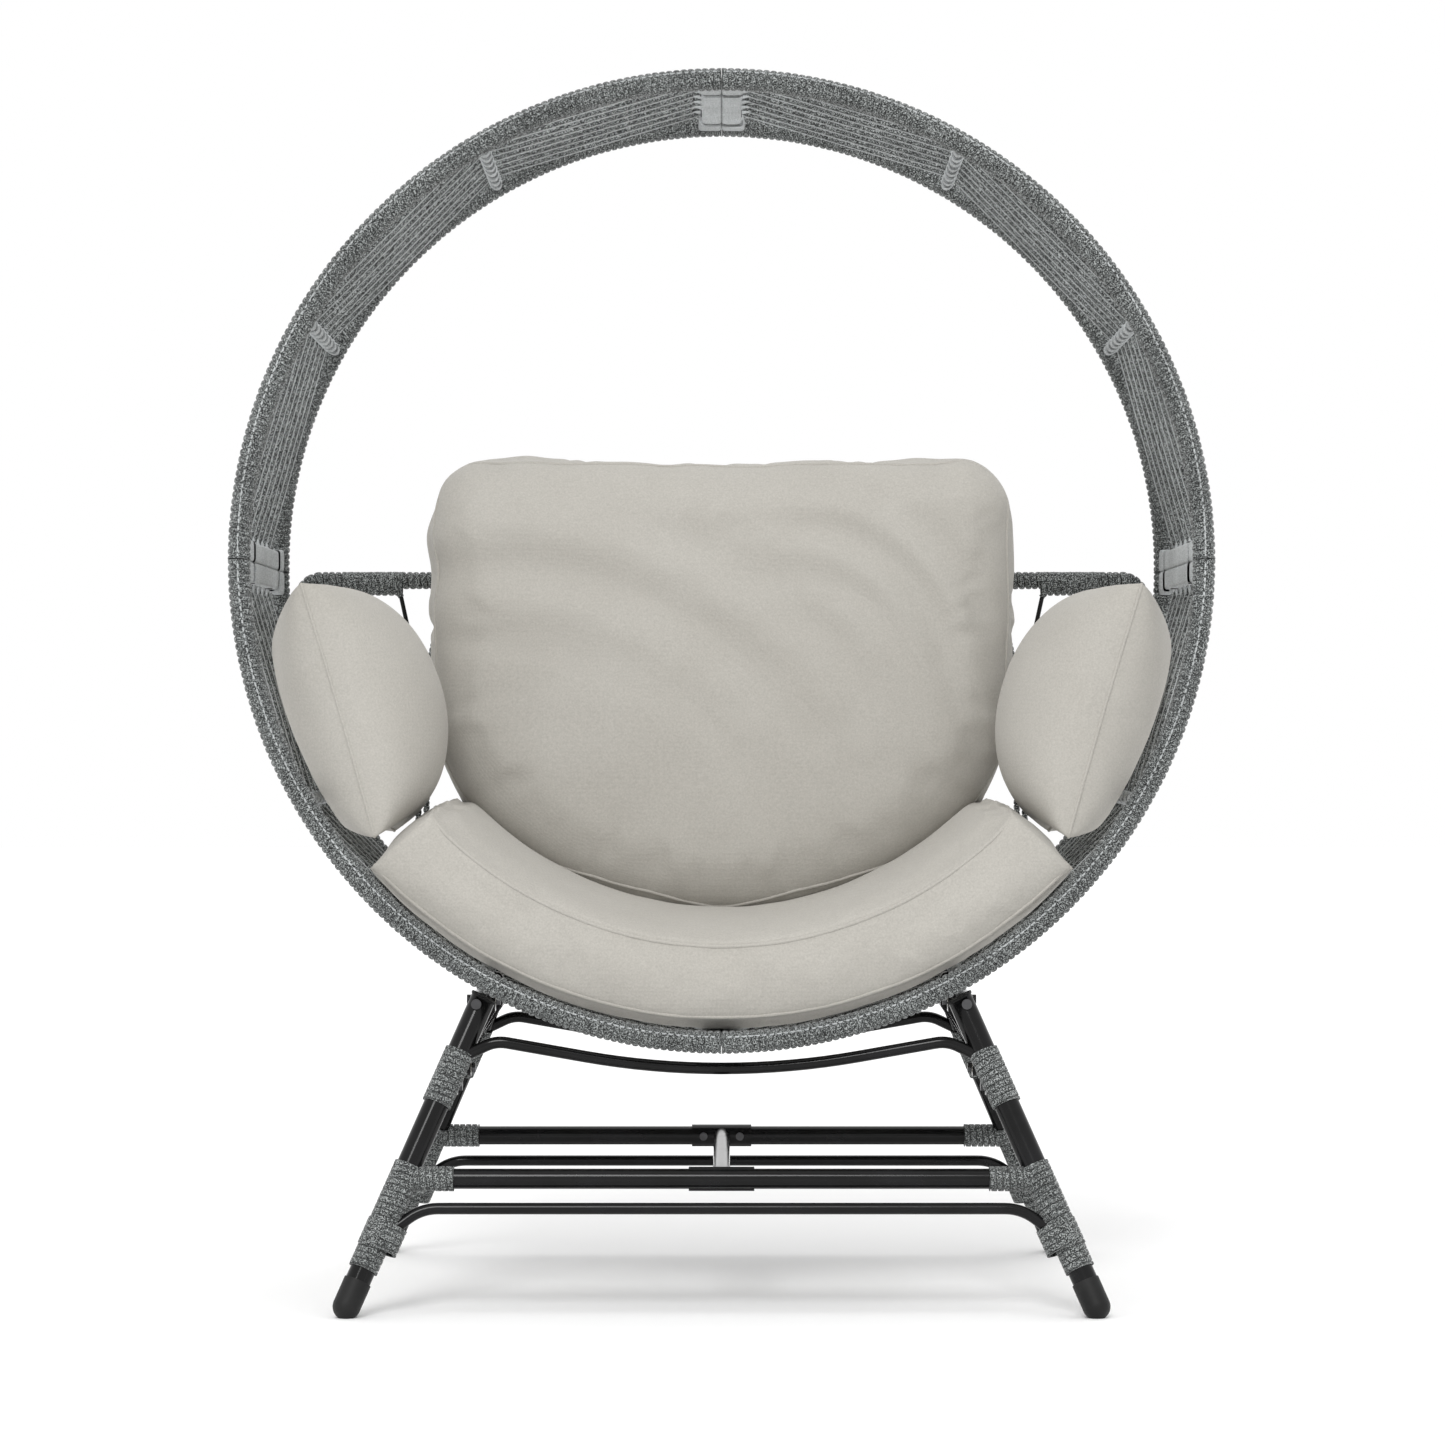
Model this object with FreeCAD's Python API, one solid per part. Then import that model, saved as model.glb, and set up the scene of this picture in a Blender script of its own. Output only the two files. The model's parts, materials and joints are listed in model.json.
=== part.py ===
import FreeCAD, Part
import math
import os

Vector = FreeCAD.Vector

# A round two-seat glider: a laced drum that swings fore and aft on four arms under a four-legged base.
# Millimetres and degrees. X runs to the right, Y to the back and Z up. The origin is on the floor, midway
# between the feet. Angles round a hoop are counted from its top.

# Hoops of the drum
hoop_radius = 608.0
hoop_bottom_height = 336.0
hoop_centre_height = hoop_bottom_height + hoop_radius
hoop_half_depth = 250.0
front_hoop_lean = 2.0
rear_hoop_lean = 9.0
hoop_tube_radius = 11.0
hoop_tube_wall = 1.5
hoop_wrap = 3.5
joint_gap = 3.0

# Spacers between the hoops, and the bolts that join the quarters
spacer_step = 30.0
spacer_radius = 5.0
spacer_wall = 1.2
spacer_wrap = 2.2
end_spacer_width = 20.0
end_spacer_height = 12.0
end_spacer_wall = 1.5
end_spacer_wrap = 2.5
end_spacer_gap = 6.0
frame_bolt_radius = 3.0
frame_bolt_head_radius = 5.0
frame_bolt_head = 4.0
frame_nut = 5.0
bolt_clearance = 0.1

# Lacing
cord_radius = 3.5
cord_count = 8
cord_clearance = 0.4
cord_edge_bend = 12.0

# Back rest
back_bar_height = hoop_centre_height - 11.0
back_bar_half_span = hoop_radius - 33.0
back_bar_radius = 9.5
back_bar_wall = 1.5
back_bar_wrap = 2.5
back_bar_bend = 25.0
arch_count = 8
arch_pitch = 137.0
arch_half_top = 37.0
arch_half_width = 63.0
arch_drop = 120.0
arch_radius = 3.0
arch_wrap = 1.5
arch_bend = 16.0
weld_gap = 0.1

# Legs
foot_y = 345.0
leg_lean_x = 0.435
leg_to_rail = 5.2
leg_lean_y = 0.333
leg_radius = 16.0
leg_wall = 1.8
drum_to_leg_gap = 7.5
leg_cap = 3.0
leg_cap_lip = 1.0
foot_cap_wall = 1.5
foot_cap_length = 34.0
foot_dome_height = 14.0
leg_start = 4.0
leg_wrap = 3.0
upper_wrap_heights = (258.0, 322.0)
lower_wrap_heights = (58.0, 183.0)

# Cross members of the base
crossbar_height = 167.0
crossbar_radius = 12.7
crossbar_wall = 1.5
lower_rod_height = 131.0
lower_rod_radius = 7.25
lower_rod_end_height = 88.0
lower_rod_bend = 60.0
upper_rod_radius = 7.5
upper_rod_end_height = 312.0
upper_rod_corner_height = 336.0
upper_rod_bend = 45.0
upper_rod_middle_height = 286.0
upper_rod_middle_bend = 1000.0
stretcher_radius = 11.0
stretcher_wall = 1.5
saddle_length = 82.0
saddle_thickness = 2.5
saddle_overlap = 2.0
saddle_bolt_offset = 25.0
saddle_bolt_radius = 3.0
saddle_bolt_head_radius = 5.5
saddle_bolt_head = 4.0
saddle_bolt_reach = 12.0

# Glide: top rails on the base, arms, and glide rails under the drum
top_rail_x = hoop_radius / 2 + 6.0
top_rail_radius = 12.5
drum_to_rail_gap = 9.7
top_rail_wall = 2.0
top_rail_plug = 14.0
rail_bolt_radius = 4.0
rail_bolt_head_radius = 6.5
rail_bolt_head = 4.5
rail_bolt_reach = 12.0
arm_length = 110.0
arm_pivot_y = 150.0
arm_width = 24.0
arm_thickness = 5.0
arm_straight = 14.0
glide_angle = 20.0
glide_rail_x = top_rail_x + 46.0
glide_rail_radius = 10.0
glide_rail_wall = 2.0
buffer_length = 18.0
buffer_radius = 8.0
buffer_plug = 12.0
buffer_spare = 3.0
pin_radius = 4.0
pin_running_clearance = 0.05
bush_radius = 7.0
bush_flange = 0.6
side_clearance = 0.2
pivot_spacer_radius = 8.0
arm_to_rail = 2.5
pivot_head_radius = 7.0
pivot_head = 4.0
pivot_nut_radius = 7.0
pivot_nut = 5.5
hanger_width = 24.0
hanger_thickness = 6.0
hanger_rail_clearance = 7.5
hanger_weld_depth = 1.0
hanger_bend = 6.0
hanger_turn_drop = 10.0

# Cushions
cushion_clearance = 3.0
seat_thickness = 108.0
seat_crown = 28.0
seat_half_angle = 49.5
seat_front = -hoop_half_depth
seat_back = hoop_half_depth - 10.0
back_half_width = 394.5
back_top = hoop_centre_height + 151.0
back_thickness = 184.0
back_rear = hoop_half_depth - 16.0
back_front = back_rear - back_thickness
back_top_corner = 68.0
back_low_corner = 70.0
back_edge = 55.0
back_to_seat = 4.0
pillow_length = 333.0
pillow_depth = 350.0
pillow_inner = 126.0
pillow_outer = 93.0
pillow_edge = 20.0
pillow_lean = 16.2
pillow_angle = 68.5
pillow_inset = 68.3
pillow_y = back_front - 108.0

SIDES = {"left": -1, "right": 1}
ENDS = {"front": -1, "rear": 1}
HALVES = {"upper": 0.0, "lower": 90.0}


def sin(degrees):
    return math.sin(math.radians(degrees))


def cos(degrees):
    return math.cos(math.radians(degrees))


def drum_underside(x):
    """Height of the wrapped hoop's lowest line at this distance from the middle."""
    return hoop_centre_height - math.sqrt((hoop_radius + hoop_tube_radius + hoop_wrap) ** 2 - x**2)


top_rail_height = round(drum_underside(top_rail_x) - drum_to_rail_gap - top_rail_radius, 1)
foot_x = round(top_rail_x - leg_to_rail + leg_lean_x * top_rail_height, 1)
lower_rod_corner = foot_x - 96.0
upper_rod_corner = foot_x - 186.0
crossbar_wrap_end = foot_x - 136.0

# Shapes that several pieces use


def bar(start, end, radius):
    return Part.makeCylinder(radius, start.distanceToPoint(end), start, end - start)


def tube(start, end, radius, wall):
    return bar(start, end, radius).cut(bar(start, end, radius - wall))


def rounded_path(points, bends):
    edges = []
    last = points[0]
    for before, corner, after, bend in zip(points, points[1:], points[2:], bends):
        back = (before - corner).normalize()
        ahead = (after - corner).normalize()
        half = back.getAngle(ahead) / 2
        start = corner + back * (bend / math.tan(half))
        stop = corner + ahead * (bend / math.tan(half))
        middle = corner + (back + ahead).normalize() * (bend / math.sin(half) - bend)
        edges.append(Part.LineSegment(last, start).toShape())
        edges.append(Part.Arc(start, middle, stop).toShape())
        last = stop
    edges.append(Part.LineSegment(last, points[-1]).toShape())
    return Part.Wire(edges)


def sweep(path, radius):
    first = path.Edges[0]
    start = first.valueAt(first.FirstParameter)
    along = first.tangentAt(first.FirstParameter)
    section = Part.Wire([Part.Circle(start, along, radius).toShape()])
    return path.makePipeShell([section], True, True)


def sleeve(path, inner, outer):
    return sweep(path, outer).cut(sweep(path, inner))


def prism(centre, across, up, along, width, height):
    corners = []
    for u, v in ((-1, -1), (1, -1), (1, 1), (-1, 1), (-1, -1)):
        corners.append(centre + across * (u * width / 2) + up * (v * height / 2))
    return Part.Face(Part.makePolygon(corners)).extrude(along)


def hexagon(start, end, radius):
    along = end - start
    side = Vector(0, 0, 1).cross(along)
    if side.Length < 1:
        side = Vector(1, 0, 0)
    side = side.normalize()
    up = Vector(along).normalize().cross(side)
    corners = []
    for step in range(7):
        corners.append(start + side * (radius * cos(60 * step)) + up * (radius * sin(60 * step)))
    return Part.Face(Part.makePolygon(corners)).extrude(along)


def half_space(point, normal):
    size = 400.0
    block = Part.makeBox(size, size, size, Vector(-size / 2, -size / 2, 0))
    block.Placement = FreeCAD.Placement(point, FreeCAD.Rotation(Vector(0, 0, 1), normal))
    return block


def at_corner(shape, side, end):
    """The shape made for the right rear corner, at the corner on that side and end."""
    if side < 0:
        shape = shape.mirror(Vector(0, 0, 0), Vector(1, 0, 0))
    if end < 0:
        shape = shape.mirror(Vector(0, 0, 0), Vector(0, 1, 0))
    return shape


def at_all_corners(shape):
    return [at_corner(shape, side, end) for end in ENDS.values() for side in SIDES.values()]


def less(shape, tools):
    for tool in tools:
        shape = shape.cut(tool)
    return shape


# Drum: quarter hoops, spacers and joints


def hoop_up(ring, half):
    lean = 0.0
    if ring == "front":
        lean = front_hoop_lean
    elif half == "upper":
        lean = -rear_hoop_lean
    return Vector(0, sin(lean), cos(lean))


def hoop_point(side, ring, half, angle):
    centre = Vector(0, ENDS[ring] * hoop_half_depth, hoop_centre_height)
    sideways = Vector(side * hoop_radius * sin(angle), 0, 0)
    return centre + sideways + hoop_up(ring, half) * (hoop_radius * cos(angle))


def between_hoops(side, half, angle, share):
    front = hoop_point(side, "front", half, angle)
    return front + (hoop_point(side, "rear", half, angle) - front) * share


def outward(side, angle):
    return Vector(side * sin(angle), 0, cos(angle))


def along_hoop(side, angle):
    return Vector(side * cos(angle), 0, -sin(angle))


def hoop_path(side, ring, half, gap=joint_gap):
    trim = math.degrees(gap / 2 / hoop_radius)
    first = HALVES[half] + trim
    last = HALVES[half] + 90 - trim
    points = [hoop_point(side, ring, half, a) for a in (first, (first + last) / 2, last)]
    return Part.Wire([Part.Arc(*points).toShape()])


def hoop_bodies(side, half, radius, gap=joint_gap):
    return [sweep(hoop_path(side, ring, half, gap), radius) for ring in ENDS]


def spacer_angles(half):
    return [HALVES[half] + spacer_step, HALVES[half] + 90 - spacer_step]


def spacer_body(side, half, angle, radius):
    return bar(between_hoops(side, half, angle, 0), between_hoops(side, half, angle, 1), radius)


def joint_ends(half):
    """The angles of a quarter's two joints, each with the way into the quarter."""
    return [(HALVES[half], 1), (HALVES[half] + 90, -1)]


def end_spacer_body(side, half, joint, inward, grow):
    offset = end_spacer_gap / 2 + end_spacer_width / 2
    tangent = along_hoop(side, joint)
    front = between_hoops(side, half, joint, 0) + tangent * (inward * offset)
    rear = between_hoops(side, half, joint, 1) + tangent * (inward * offset)
    along = rear - front
    up = Vector(along).normalize().cross(tangent)
    return prism(front, tangent, up, along, end_spacer_width + 2 * grow, end_spacer_height + 2 * grow)


def bolt_shares():
    return [(cord_count / 4 + 0.5) / (cord_count + 1), (cord_count * 3 / 4 + 0.5) / (cord_count + 1)]


def joint_bolt_places():
    """A point on each frame bolt's axis at its joint, and the axis."""
    places = []
    for side, half, angle in ((1, "upper", 0), (1, "lower", 180), (-1, "upper", 90), (1, "upper", 90)):
        for share in bolt_shares():
            places.append((between_hoops(side, half, angle, share), along_hoop(side, angle)))
    return places


def joint_bolt_rods(radius, reach):
    return [bar(p - a * reach, p + a * reach, radius) for p, a in joint_bolt_places()]


joint_reach = end_spacer_gap / 2 + end_spacer_width


def quarter_frame(side, half):
    hoops = hoop_bodies(side, half, hoop_tube_radius)
    pieces = []
    for ring, body in zip(ENDS, hoops):
        pieces.append(body.cut(sweep(hoop_path(side, ring, half), hoop_tube_radius - hoop_tube_wall)))
    for angle in spacer_angles(half):
        hollow = spacer_body(side, half, angle, spacer_radius - spacer_wall)
        pieces.append(less(spacer_body(side, half, angle, spacer_radius), [hollow] + hoops))
    holes = joint_bolt_rods(frame_bolt_radius + bolt_clearance, joint_reach + end_spacer_wrap)
    for joint, inward in joint_ends(half):
        hollow = end_spacer_body(side, half, joint, inward, -end_spacer_wall)
        pieces.append(less(end_spacer_body(side, half, joint, inward, 0), [hollow] + hoops + holes))
    return pieces


def frame_bolts():
    pieces = []
    for point, axis in joint_bolt_places():
        shank = bar(point - axis * (joint_reach + frame_nut), point + axis * joint_reach, frame_bolt_radius)
        seat = point + axis * joint_reach
        head = bar(seat, seat + axis * frame_bolt_head, frame_bolt_head_radius)
        pieces.append(shank.fuse(head).removeSplitter())
    return pieces


def frame_nuts():
    pieces = []
    for point, axis in joint_bolt_places():
        start = point - axis * joint_reach
        end = point - axis * (joint_reach + frame_nut)
        nut = hexagon(start, end, frame_bolt_head_radius + 0.4)
        pieces.append(nut.cut(bar(start, end, frame_bolt_radius + weld_gap / 2)))
    return pieces


def spacer_wraps(hangers):
    pieces = []
    for side in SIDES.values():
        for half in HALVES:
            wrapped_hoops = hoop_bodies(side, half, hoop_tube_radius + hoop_wrap)
            for angle in spacer_angles(half):
                outer = spacer_body(side, half, angle, spacer_radius + spacer_wrap)
                inner = spacer_body(side, half, angle, spacer_radius)
                pieces.extend(less(outer, [inner] + wrapped_hoops + hangers).Solids)
    return pieces


def joint_wraps():
    pieces = []
    heads = joint_bolt_rods(frame_bolt_head_radius + 1.0, joint_reach + frame_nut)
    for side in SIDES.values():
        for half in HALVES:
            wrapped_hoops = hoop_bodies(side, half, hoop_tube_radius + hoop_wrap, 0.0)
            for joint, inward in joint_ends(half):
                outer = end_spacer_body(side, half, joint, inward, end_spacer_wrap)
                inner = end_spacer_body(side, half, joint, inward, 0)
                pieces.append(less(outer, [inner] + wrapped_hoops + heads))
    return pieces


def hoop_wraps(back_rods):
    pieces = []
    for side in SIDES.values():
        for half in HALVES:
            through = [spacer_body(side, half, a, spacer_radius) for a in spacer_angles(half)]
            through += [end_spacer_body(side, half, j, way, 0) for j, way in joint_ends(half)]
            for ring in ENDS:
                tools = list(through)
                if ring == "rear" and half == "lower":
                    tools += back_rods
                path = hoop_path(side, ring, half)
                pieces.append(less(sleeve(path, hoop_tube_radius, hoop_tube_radius + hoop_wrap), tools))
    return pieces


# Lacing cords, stretched over the outside of the spacers


def cord_path(side, half, share):
    bend = spacer_radius + spacer_wrap + cord_clearance + cord_radius
    lift = end_spacer_height / 2 + end_spacer_wrap + cord_clearance + cord_radius
    ends = []
    for joint, inward in joint_ends(half):
        start = between_hoops(side, half, joint, share) + outward(side, joint) * lift
        tangent = along_hoop(side, joint) * inward
        edge = end_spacer_gap / 2 + end_spacer_width + end_spacer_wrap + 1.0
        ends.append([start + tangent * (end_spacer_gap / 2 + end_spacer_width / 2), start + tangent * edge])
    corners = []
    for angle in spacer_angles(half):
        crossing = between_hoops(side, half, angle, share)
        corners.append(crossing + outward(side, angle) * (bend / cos(spacer_step / 2)))
    points = ends[0] + corners + ends[1][::-1]
    return rounded_path(points, [cord_edge_bend, bend, bend, cord_edge_bend])


def lacing(side, half):
    shares = [(number + 1) / (cord_count + 1) for number in range(cord_count)]
    return [sweep(cord_path(side, half, share), cord_radius) for share in shares]


# Back rest: a bar with turned-down ends and a row of bent rods, in the plane of the rear hoop's lower half


def hoop_drop(x):
    """Height of the rear hoop's centre line at this distance from the middle."""
    return hoop_centre_height - math.sqrt(hoop_radius**2 - x**2)


def back_bar_path():
    x = back_bar_half_span
    points = [
        Vector(-x, hoop_half_depth, hoop_drop(x)),
        Vector(-x, hoop_half_depth, back_bar_height),
        Vector(x, hoop_half_depth, back_bar_height),
        Vector(x, hoop_half_depth, hoop_drop(x)),
    ]
    return rounded_path(points, [back_bar_bend, back_bar_bend])


def arch_paths():
    top = back_bar_height - back_bar_radius - weld_gap - arch_radius
    paths = []
    for number in range(arch_count):
        middle = (number - (arch_count - 1) / 2) * arch_pitch
        left = middle - arch_half_width
        right = middle + arch_half_width
        points = [
            Vector(left, hoop_half_depth, hoop_drop(left)),
            Vector(left, hoop_half_depth, top - arch_drop),
            Vector(middle - arch_half_top, hoop_half_depth, top),
            Vector(middle + arch_half_top, hoop_half_depth, top),
            Vector(right, hoop_half_depth, top - arch_drop),
            Vector(right, hoop_half_depth, hoop_drop(right)),
        ]
        paths.append(rounded_path(points, [arch_bend * 4, arch_bend, arch_bend, arch_bend * 4]))
    return paths


def rear_hoops(radius):
    return [sweep(hoop_path(side, "rear", "lower"), radius) for side in SIDES.values()]


def back_bar():
    bar_tube = sleeve(back_bar_path(), back_bar_radius - back_bar_wall, back_bar_radius)
    return less(bar_tube, rear_hoops(hoop_tube_radius))


def back_arches():
    hoops = rear_hoops(hoop_tube_radius)
    return [less(sweep(path, arch_radius), hoops) for path in arch_paths()]


def backrest_wraps(arch_rods):
    hoops = rear_hoops(hoop_tube_radius + hoop_wrap)
    bar_rope = sleeve(back_bar_path(), back_bar_radius, back_bar_radius + back_bar_wrap)
    bar_wrap = less(bar_rope, hoops + arch_rods)
    wrapped_bar = sweep(back_bar_path(), back_bar_radius + back_bar_wrap)
    pieces = list(bar_wrap.Solids)
    for path in arch_paths():
        rope = sleeve(path, arch_radius, arch_radius + arch_wrap)
        pieces.extend(less(rope, hoops + [wrapped_bar]).Solids)
    return pieces


# Base: legs and cross members, made for the right rear corner and mirrored


def leg_axis(height):
    return Vector(foot_x - leg_lean_x * height, foot_y - leg_lean_y * height, height)


leg_direction = (leg_axis(1) - leg_axis(0)).normalize()
drum_axis = Vector(0, 0, hoop_centre_height)


def leg_top_normal():
    """Square to the hoop above the leg, so that the leg's top follows the drum."""
    top = leg_axis(hoop_centre_height - hoop_radius)
    for _ in range(8):
        away = Vector(top.x, 0, top.z) - drum_axis
        drum_edge = hoop_radius + hoop_tube_radius + hoop_wrap + drum_to_leg_gap
        top = leg_axis(top.z - (drum_edge - away.Length) * hoop_radius / (hoop_radius + away.Length))
    return (Vector(top.x, 0, top.z) - drum_axis).normalize()


def leg_top_plane(depth):
    normal = leg_top_normal()
    edge = hoop_radius + hoop_tube_radius + hoop_wrap + drum_to_leg_gap + depth
    return drum_axis + normal * edge, normal * -1


def leg_line(radius):
    start = leg_axis(foot_dome_height) + leg_direction * leg_start
    return bar(start, leg_axis(hoop_centre_height / 2), radius)


def leg_body(radius):
    body = leg_line(radius)
    point, above = leg_top_plane(leg_cap)
    return body.cut(half_space(Vector(point.x, leg_axis(point.z).y, point.z), above))


def rail_bolt_hole():
    y = leg_axis(top_rail_height).y
    start = Vector(top_rail_x, y - 2 * leg_radius, top_rail_height)
    return bar(start, start + Vector(0, 4 * leg_radius, 0), rail_bolt_radius + bolt_clearance)


def leg():
    return less(leg_body(leg_radius), [leg_body(leg_radius - leg_wall), rail_bolt_hole()])


def leg_top_cap():
    """Its lip has a notch where the top rail's back rises past the leg's top."""
    top, above = leg_top_plane(0)
    bottom, _ = leg_top_plane(leg_cap)
    y = leg_axis(bottom.z).y
    body = leg_line(leg_radius + leg_cap_lip).cut(half_space(Vector(top.x, y, top.z), above))
    body = body.common(half_space(Vector(bottom.x, y, bottom.z), above))
    return body.cut(top_rail_body(top_rail_radius).cut(leg_line(leg_radius)))


def foot_cap():
    centre = leg_axis(foot_dome_height)
    radius = leg_radius + foot_cap_wall
    sleeve_part = bar(centre, centre + leg_direction * foot_cap_length, radius)
    shape = Part.makeSphere(radius, centre).fuse(sleeve_part)
    floor = Part.makeBox(200, 200, 100, centre - Vector(100, 100, 100 + foot_dome_height))
    return less(shape.removeSplitter(), [floor, leg_body(leg_radius)])


def crossbar_body(radius):
    y = leg_axis(crossbar_height).y
    end = leg_axis(crossbar_height).x
    return bar(Vector(-end, y, crossbar_height), Vector(end, y, crossbar_height), radius)


def both_legs(radius):
    return [at_corner(leg_body(radius), side, 1) for side in SIDES.values()]


def saddle_bolt_rods(radius):
    y = leg_axis(crossbar_height).y
    rods = []
    for side in SIDES.values():
        start = Vector(side * saddle_bolt_offset, y - 2 * crossbar_radius, crossbar_height)
        rods.append(bar(start, Vector(start.x, y - crossbar_radius + saddle_bolt_reach, start.z), radius))
    return rods


def crossbar():
    holes = saddle_bolt_rods(saddle_bolt_radius + bolt_clearance)
    bore = crossbar_body(crossbar_radius - crossbar_wall)
    return less(crossbar_body(crossbar_radius), [bore] + both_legs(leg_radius) + holes)


def lower_rod_body(radius):
    end = leg_axis(lower_rod_end_height)
    y = leg_axis(lower_rod_height).y
    points = [
        Vector(-end.x, end.y, end.z),
        Vector(-lower_rod_corner, y, lower_rod_height),
        Vector(lower_rod_corner, y, lower_rod_height),
        end,
    ]
    return sweep(rounded_path(points, [lower_rod_bend, lower_rod_bend]), radius)


def upper_rod_body(radius):
    end = leg_axis(upper_rod_end_height)
    points = [
        Vector(-end.x, end.y, end.z),
        Vector(-upper_rod_corner, end.y, upper_rod_corner_height),
        Vector(0, end.y, upper_rod_middle_height),
        Vector(upper_rod_corner, end.y, upper_rod_corner_height),
        end,
    ]
    return sweep(rounded_path(points, [upper_rod_bend, upper_rod_middle_bend, upper_rod_bend]), radius)


def saddle_shell(radius):
    y = leg_axis(crossbar_height).y
    end = Vector(saddle_length / 2, y, crossbar_height)
    return bar(Vector(-end.x, y, crossbar_height), end, radius)


def saddle():
    y = leg_axis(crossbar_height).y
    shell = saddle_shell(crossbar_radius + saddle_thickness).cut(saddle_shell(crossbar_radius))
    outer_half = half_space(Vector(0, y + saddle_overlap, crossbar_height), Vector(0, 1, 0))
    return less(shell.cut(outer_half), saddle_bolt_rods(saddle_bolt_radius + bolt_clearance))


def saddle_bolts():
    face = leg_axis(crossbar_height).y - crossbar_radius - saddle_thickness
    pieces = []
    for side in SIDES.values():
        depth = saddle_thickness + saddle_bolt_reach
        inner = Vector(side * saddle_bolt_offset, face + depth, crossbar_height)
        seat = Vector(inner.x, face, inner.z)
        head = bar(seat, seat - Vector(0, saddle_bolt_head, 0), saddle_bolt_head_radius)
        pieces.append(bar(seat, inner, saddle_bolt_radius).fuse(head).removeSplitter())
    return pieces


def centre_stretcher():
    y = leg_axis(crossbar_height).y
    start = Vector(0, -y, crossbar_height)
    end = Vector(0, y, crossbar_height)
    body = tube(start, end, stretcher_radius, stretcher_wall)
    ends = [at_corner(saddle_shell(crossbar_radius + saddle_thickness), 1, end) for end in ENDS.values()]
    return less(body, ends)


def leg_sleeve(heights):
    low, high = heights
    return bar(leg_axis(low), leg_axis(high), leg_radius + leg_wrap)


def upper_leg_wrap():
    return less(leg_sleeve(upper_wrap_heights), [leg_body(leg_radius), upper_rod_body(upper_rod_radius)])


def lower_leg_wrap():
    y = leg_axis(crossbar_height).y
    start = Vector(crossbar_wrap_end, y, crossbar_height)
    on_bar = bar(start, leg_axis(crossbar_height), crossbar_radius + leg_wrap)
    shape = leg_sleeve(lower_wrap_heights).fuse(on_bar)
    rods = [leg_body(leg_radius), crossbar_body(crossbar_radius), lower_rod_body(lower_rod_radius)]
    return less(shape, rods)


# Glide. Pivots lie along X. Arms and nuts are on the inner side of the rails, bolt heads on the outer.

lower_pivot_height = top_rail_height - arm_length
glide_travel = arm_length * sin(glide_angle)
upper_arm_x = top_rail_x - top_rail_radius - arm_to_rail - arm_thickness / 2
lower_arm_x = glide_rail_x - glide_rail_radius - arm_to_rail - arm_thickness / 2


def top_rail_body(radius):
    y = leg_axis(top_rail_height).y
    return bar(Vector(top_rail_x, -y, top_rail_height), Vector(top_rail_x, y, top_rail_height), radius)


def top_rail_bore():
    half = leg_axis(top_rail_height).y - leg_radius - top_rail_plug
    start = Vector(top_rail_x, -half, top_rail_height)
    return bar(start, Vector(top_rail_x, half, top_rail_height), top_rail_radius - top_rail_wall)


def cross_hole(x, height):
    """Holes along X through a rail for its two pivot bolts."""
    reach = Vector(2 * top_rail_radius, 0, 0)
    holes = []
    for end in ENDS.values():
        centre = Vector(x, end * arm_pivot_y, height)
        holes.append(bar(centre - reach, centre + reach, pin_radius + bolt_clearance))
    return holes


def top_rail():
    legs = [at_corner(leg_line(leg_radius), 1, end) for end in ENDS.values()]
    bolts = [at_corner(rail_bolt_hole(), 1, end) for end in ENDS.values()]
    holes = bolts + cross_hole(top_rail_x, top_rail_height)
    return less(top_rail_body(top_rail_radius), [top_rail_bore()] + legs + holes)


def rail_bolt():
    outer = leg_axis(top_rail_height).y + leg_radius / leg_direction.z
    inner = leg_axis(top_rail_height).y - leg_radius - rail_bolt_reach
    seat = Vector(top_rail_x, outer - 1.0, top_rail_height)
    head = bar(seat, seat + Vector(0, rail_bolt_head, 0), rail_bolt_head_radius)
    head = head.cut(leg_body(leg_radius))
    shank = bar(Vector(top_rail_x, inner, top_rail_height), seat, rail_bolt_radius)
    return shank.fuse(head).removeSplitter()


def pivot_bolt(rail_x, rail_radius, arm_x, height):
    y = arm_pivot_y
    outer = rail_x + rail_radius
    inner = arm_x - arm_thickness / 2 - bush_flange - side_clearance - pivot_nut
    head = bar(Vector(outer - 1, y, height), Vector(outer + pivot_head, y, height), pivot_head_radius)
    rail = bar(Vector(rail_x, y - 50, height), Vector(rail_x, y + 50, height), rail_radius)
    shank = bar(Vector(inner, y, height), Vector(outer, y, height), pin_radius)
    return shank.fuse(head.cut(rail)).removeSplitter()


def pivot_nut_solid(arm_x, height):
    y = arm_pivot_y
    start = Vector(arm_x - arm_thickness / 2 - bush_flange - side_clearance, y, height)
    end = start - Vector(pivot_nut, 0, 0)
    return hexagon(start, end, pivot_nut_radius).cut(bar(start, end, pin_radius + pin_running_clearance))


def pivot_spacer(rail_x, rail_radius, arm_x, height):
    y = arm_pivot_y
    start = Vector(arm_x + arm_thickness / 2 + bush_flange + side_clearance, y, height)
    end = Vector(rail_x, y, height)
    rail = bar(Vector(rail_x, y - 50, height), Vector(rail_x, y + 50, height), rail_radius)
    return less(bar(start, end, pivot_spacer_radius), [rail, bar(start, end, pin_radius + bolt_clearance)])


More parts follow.
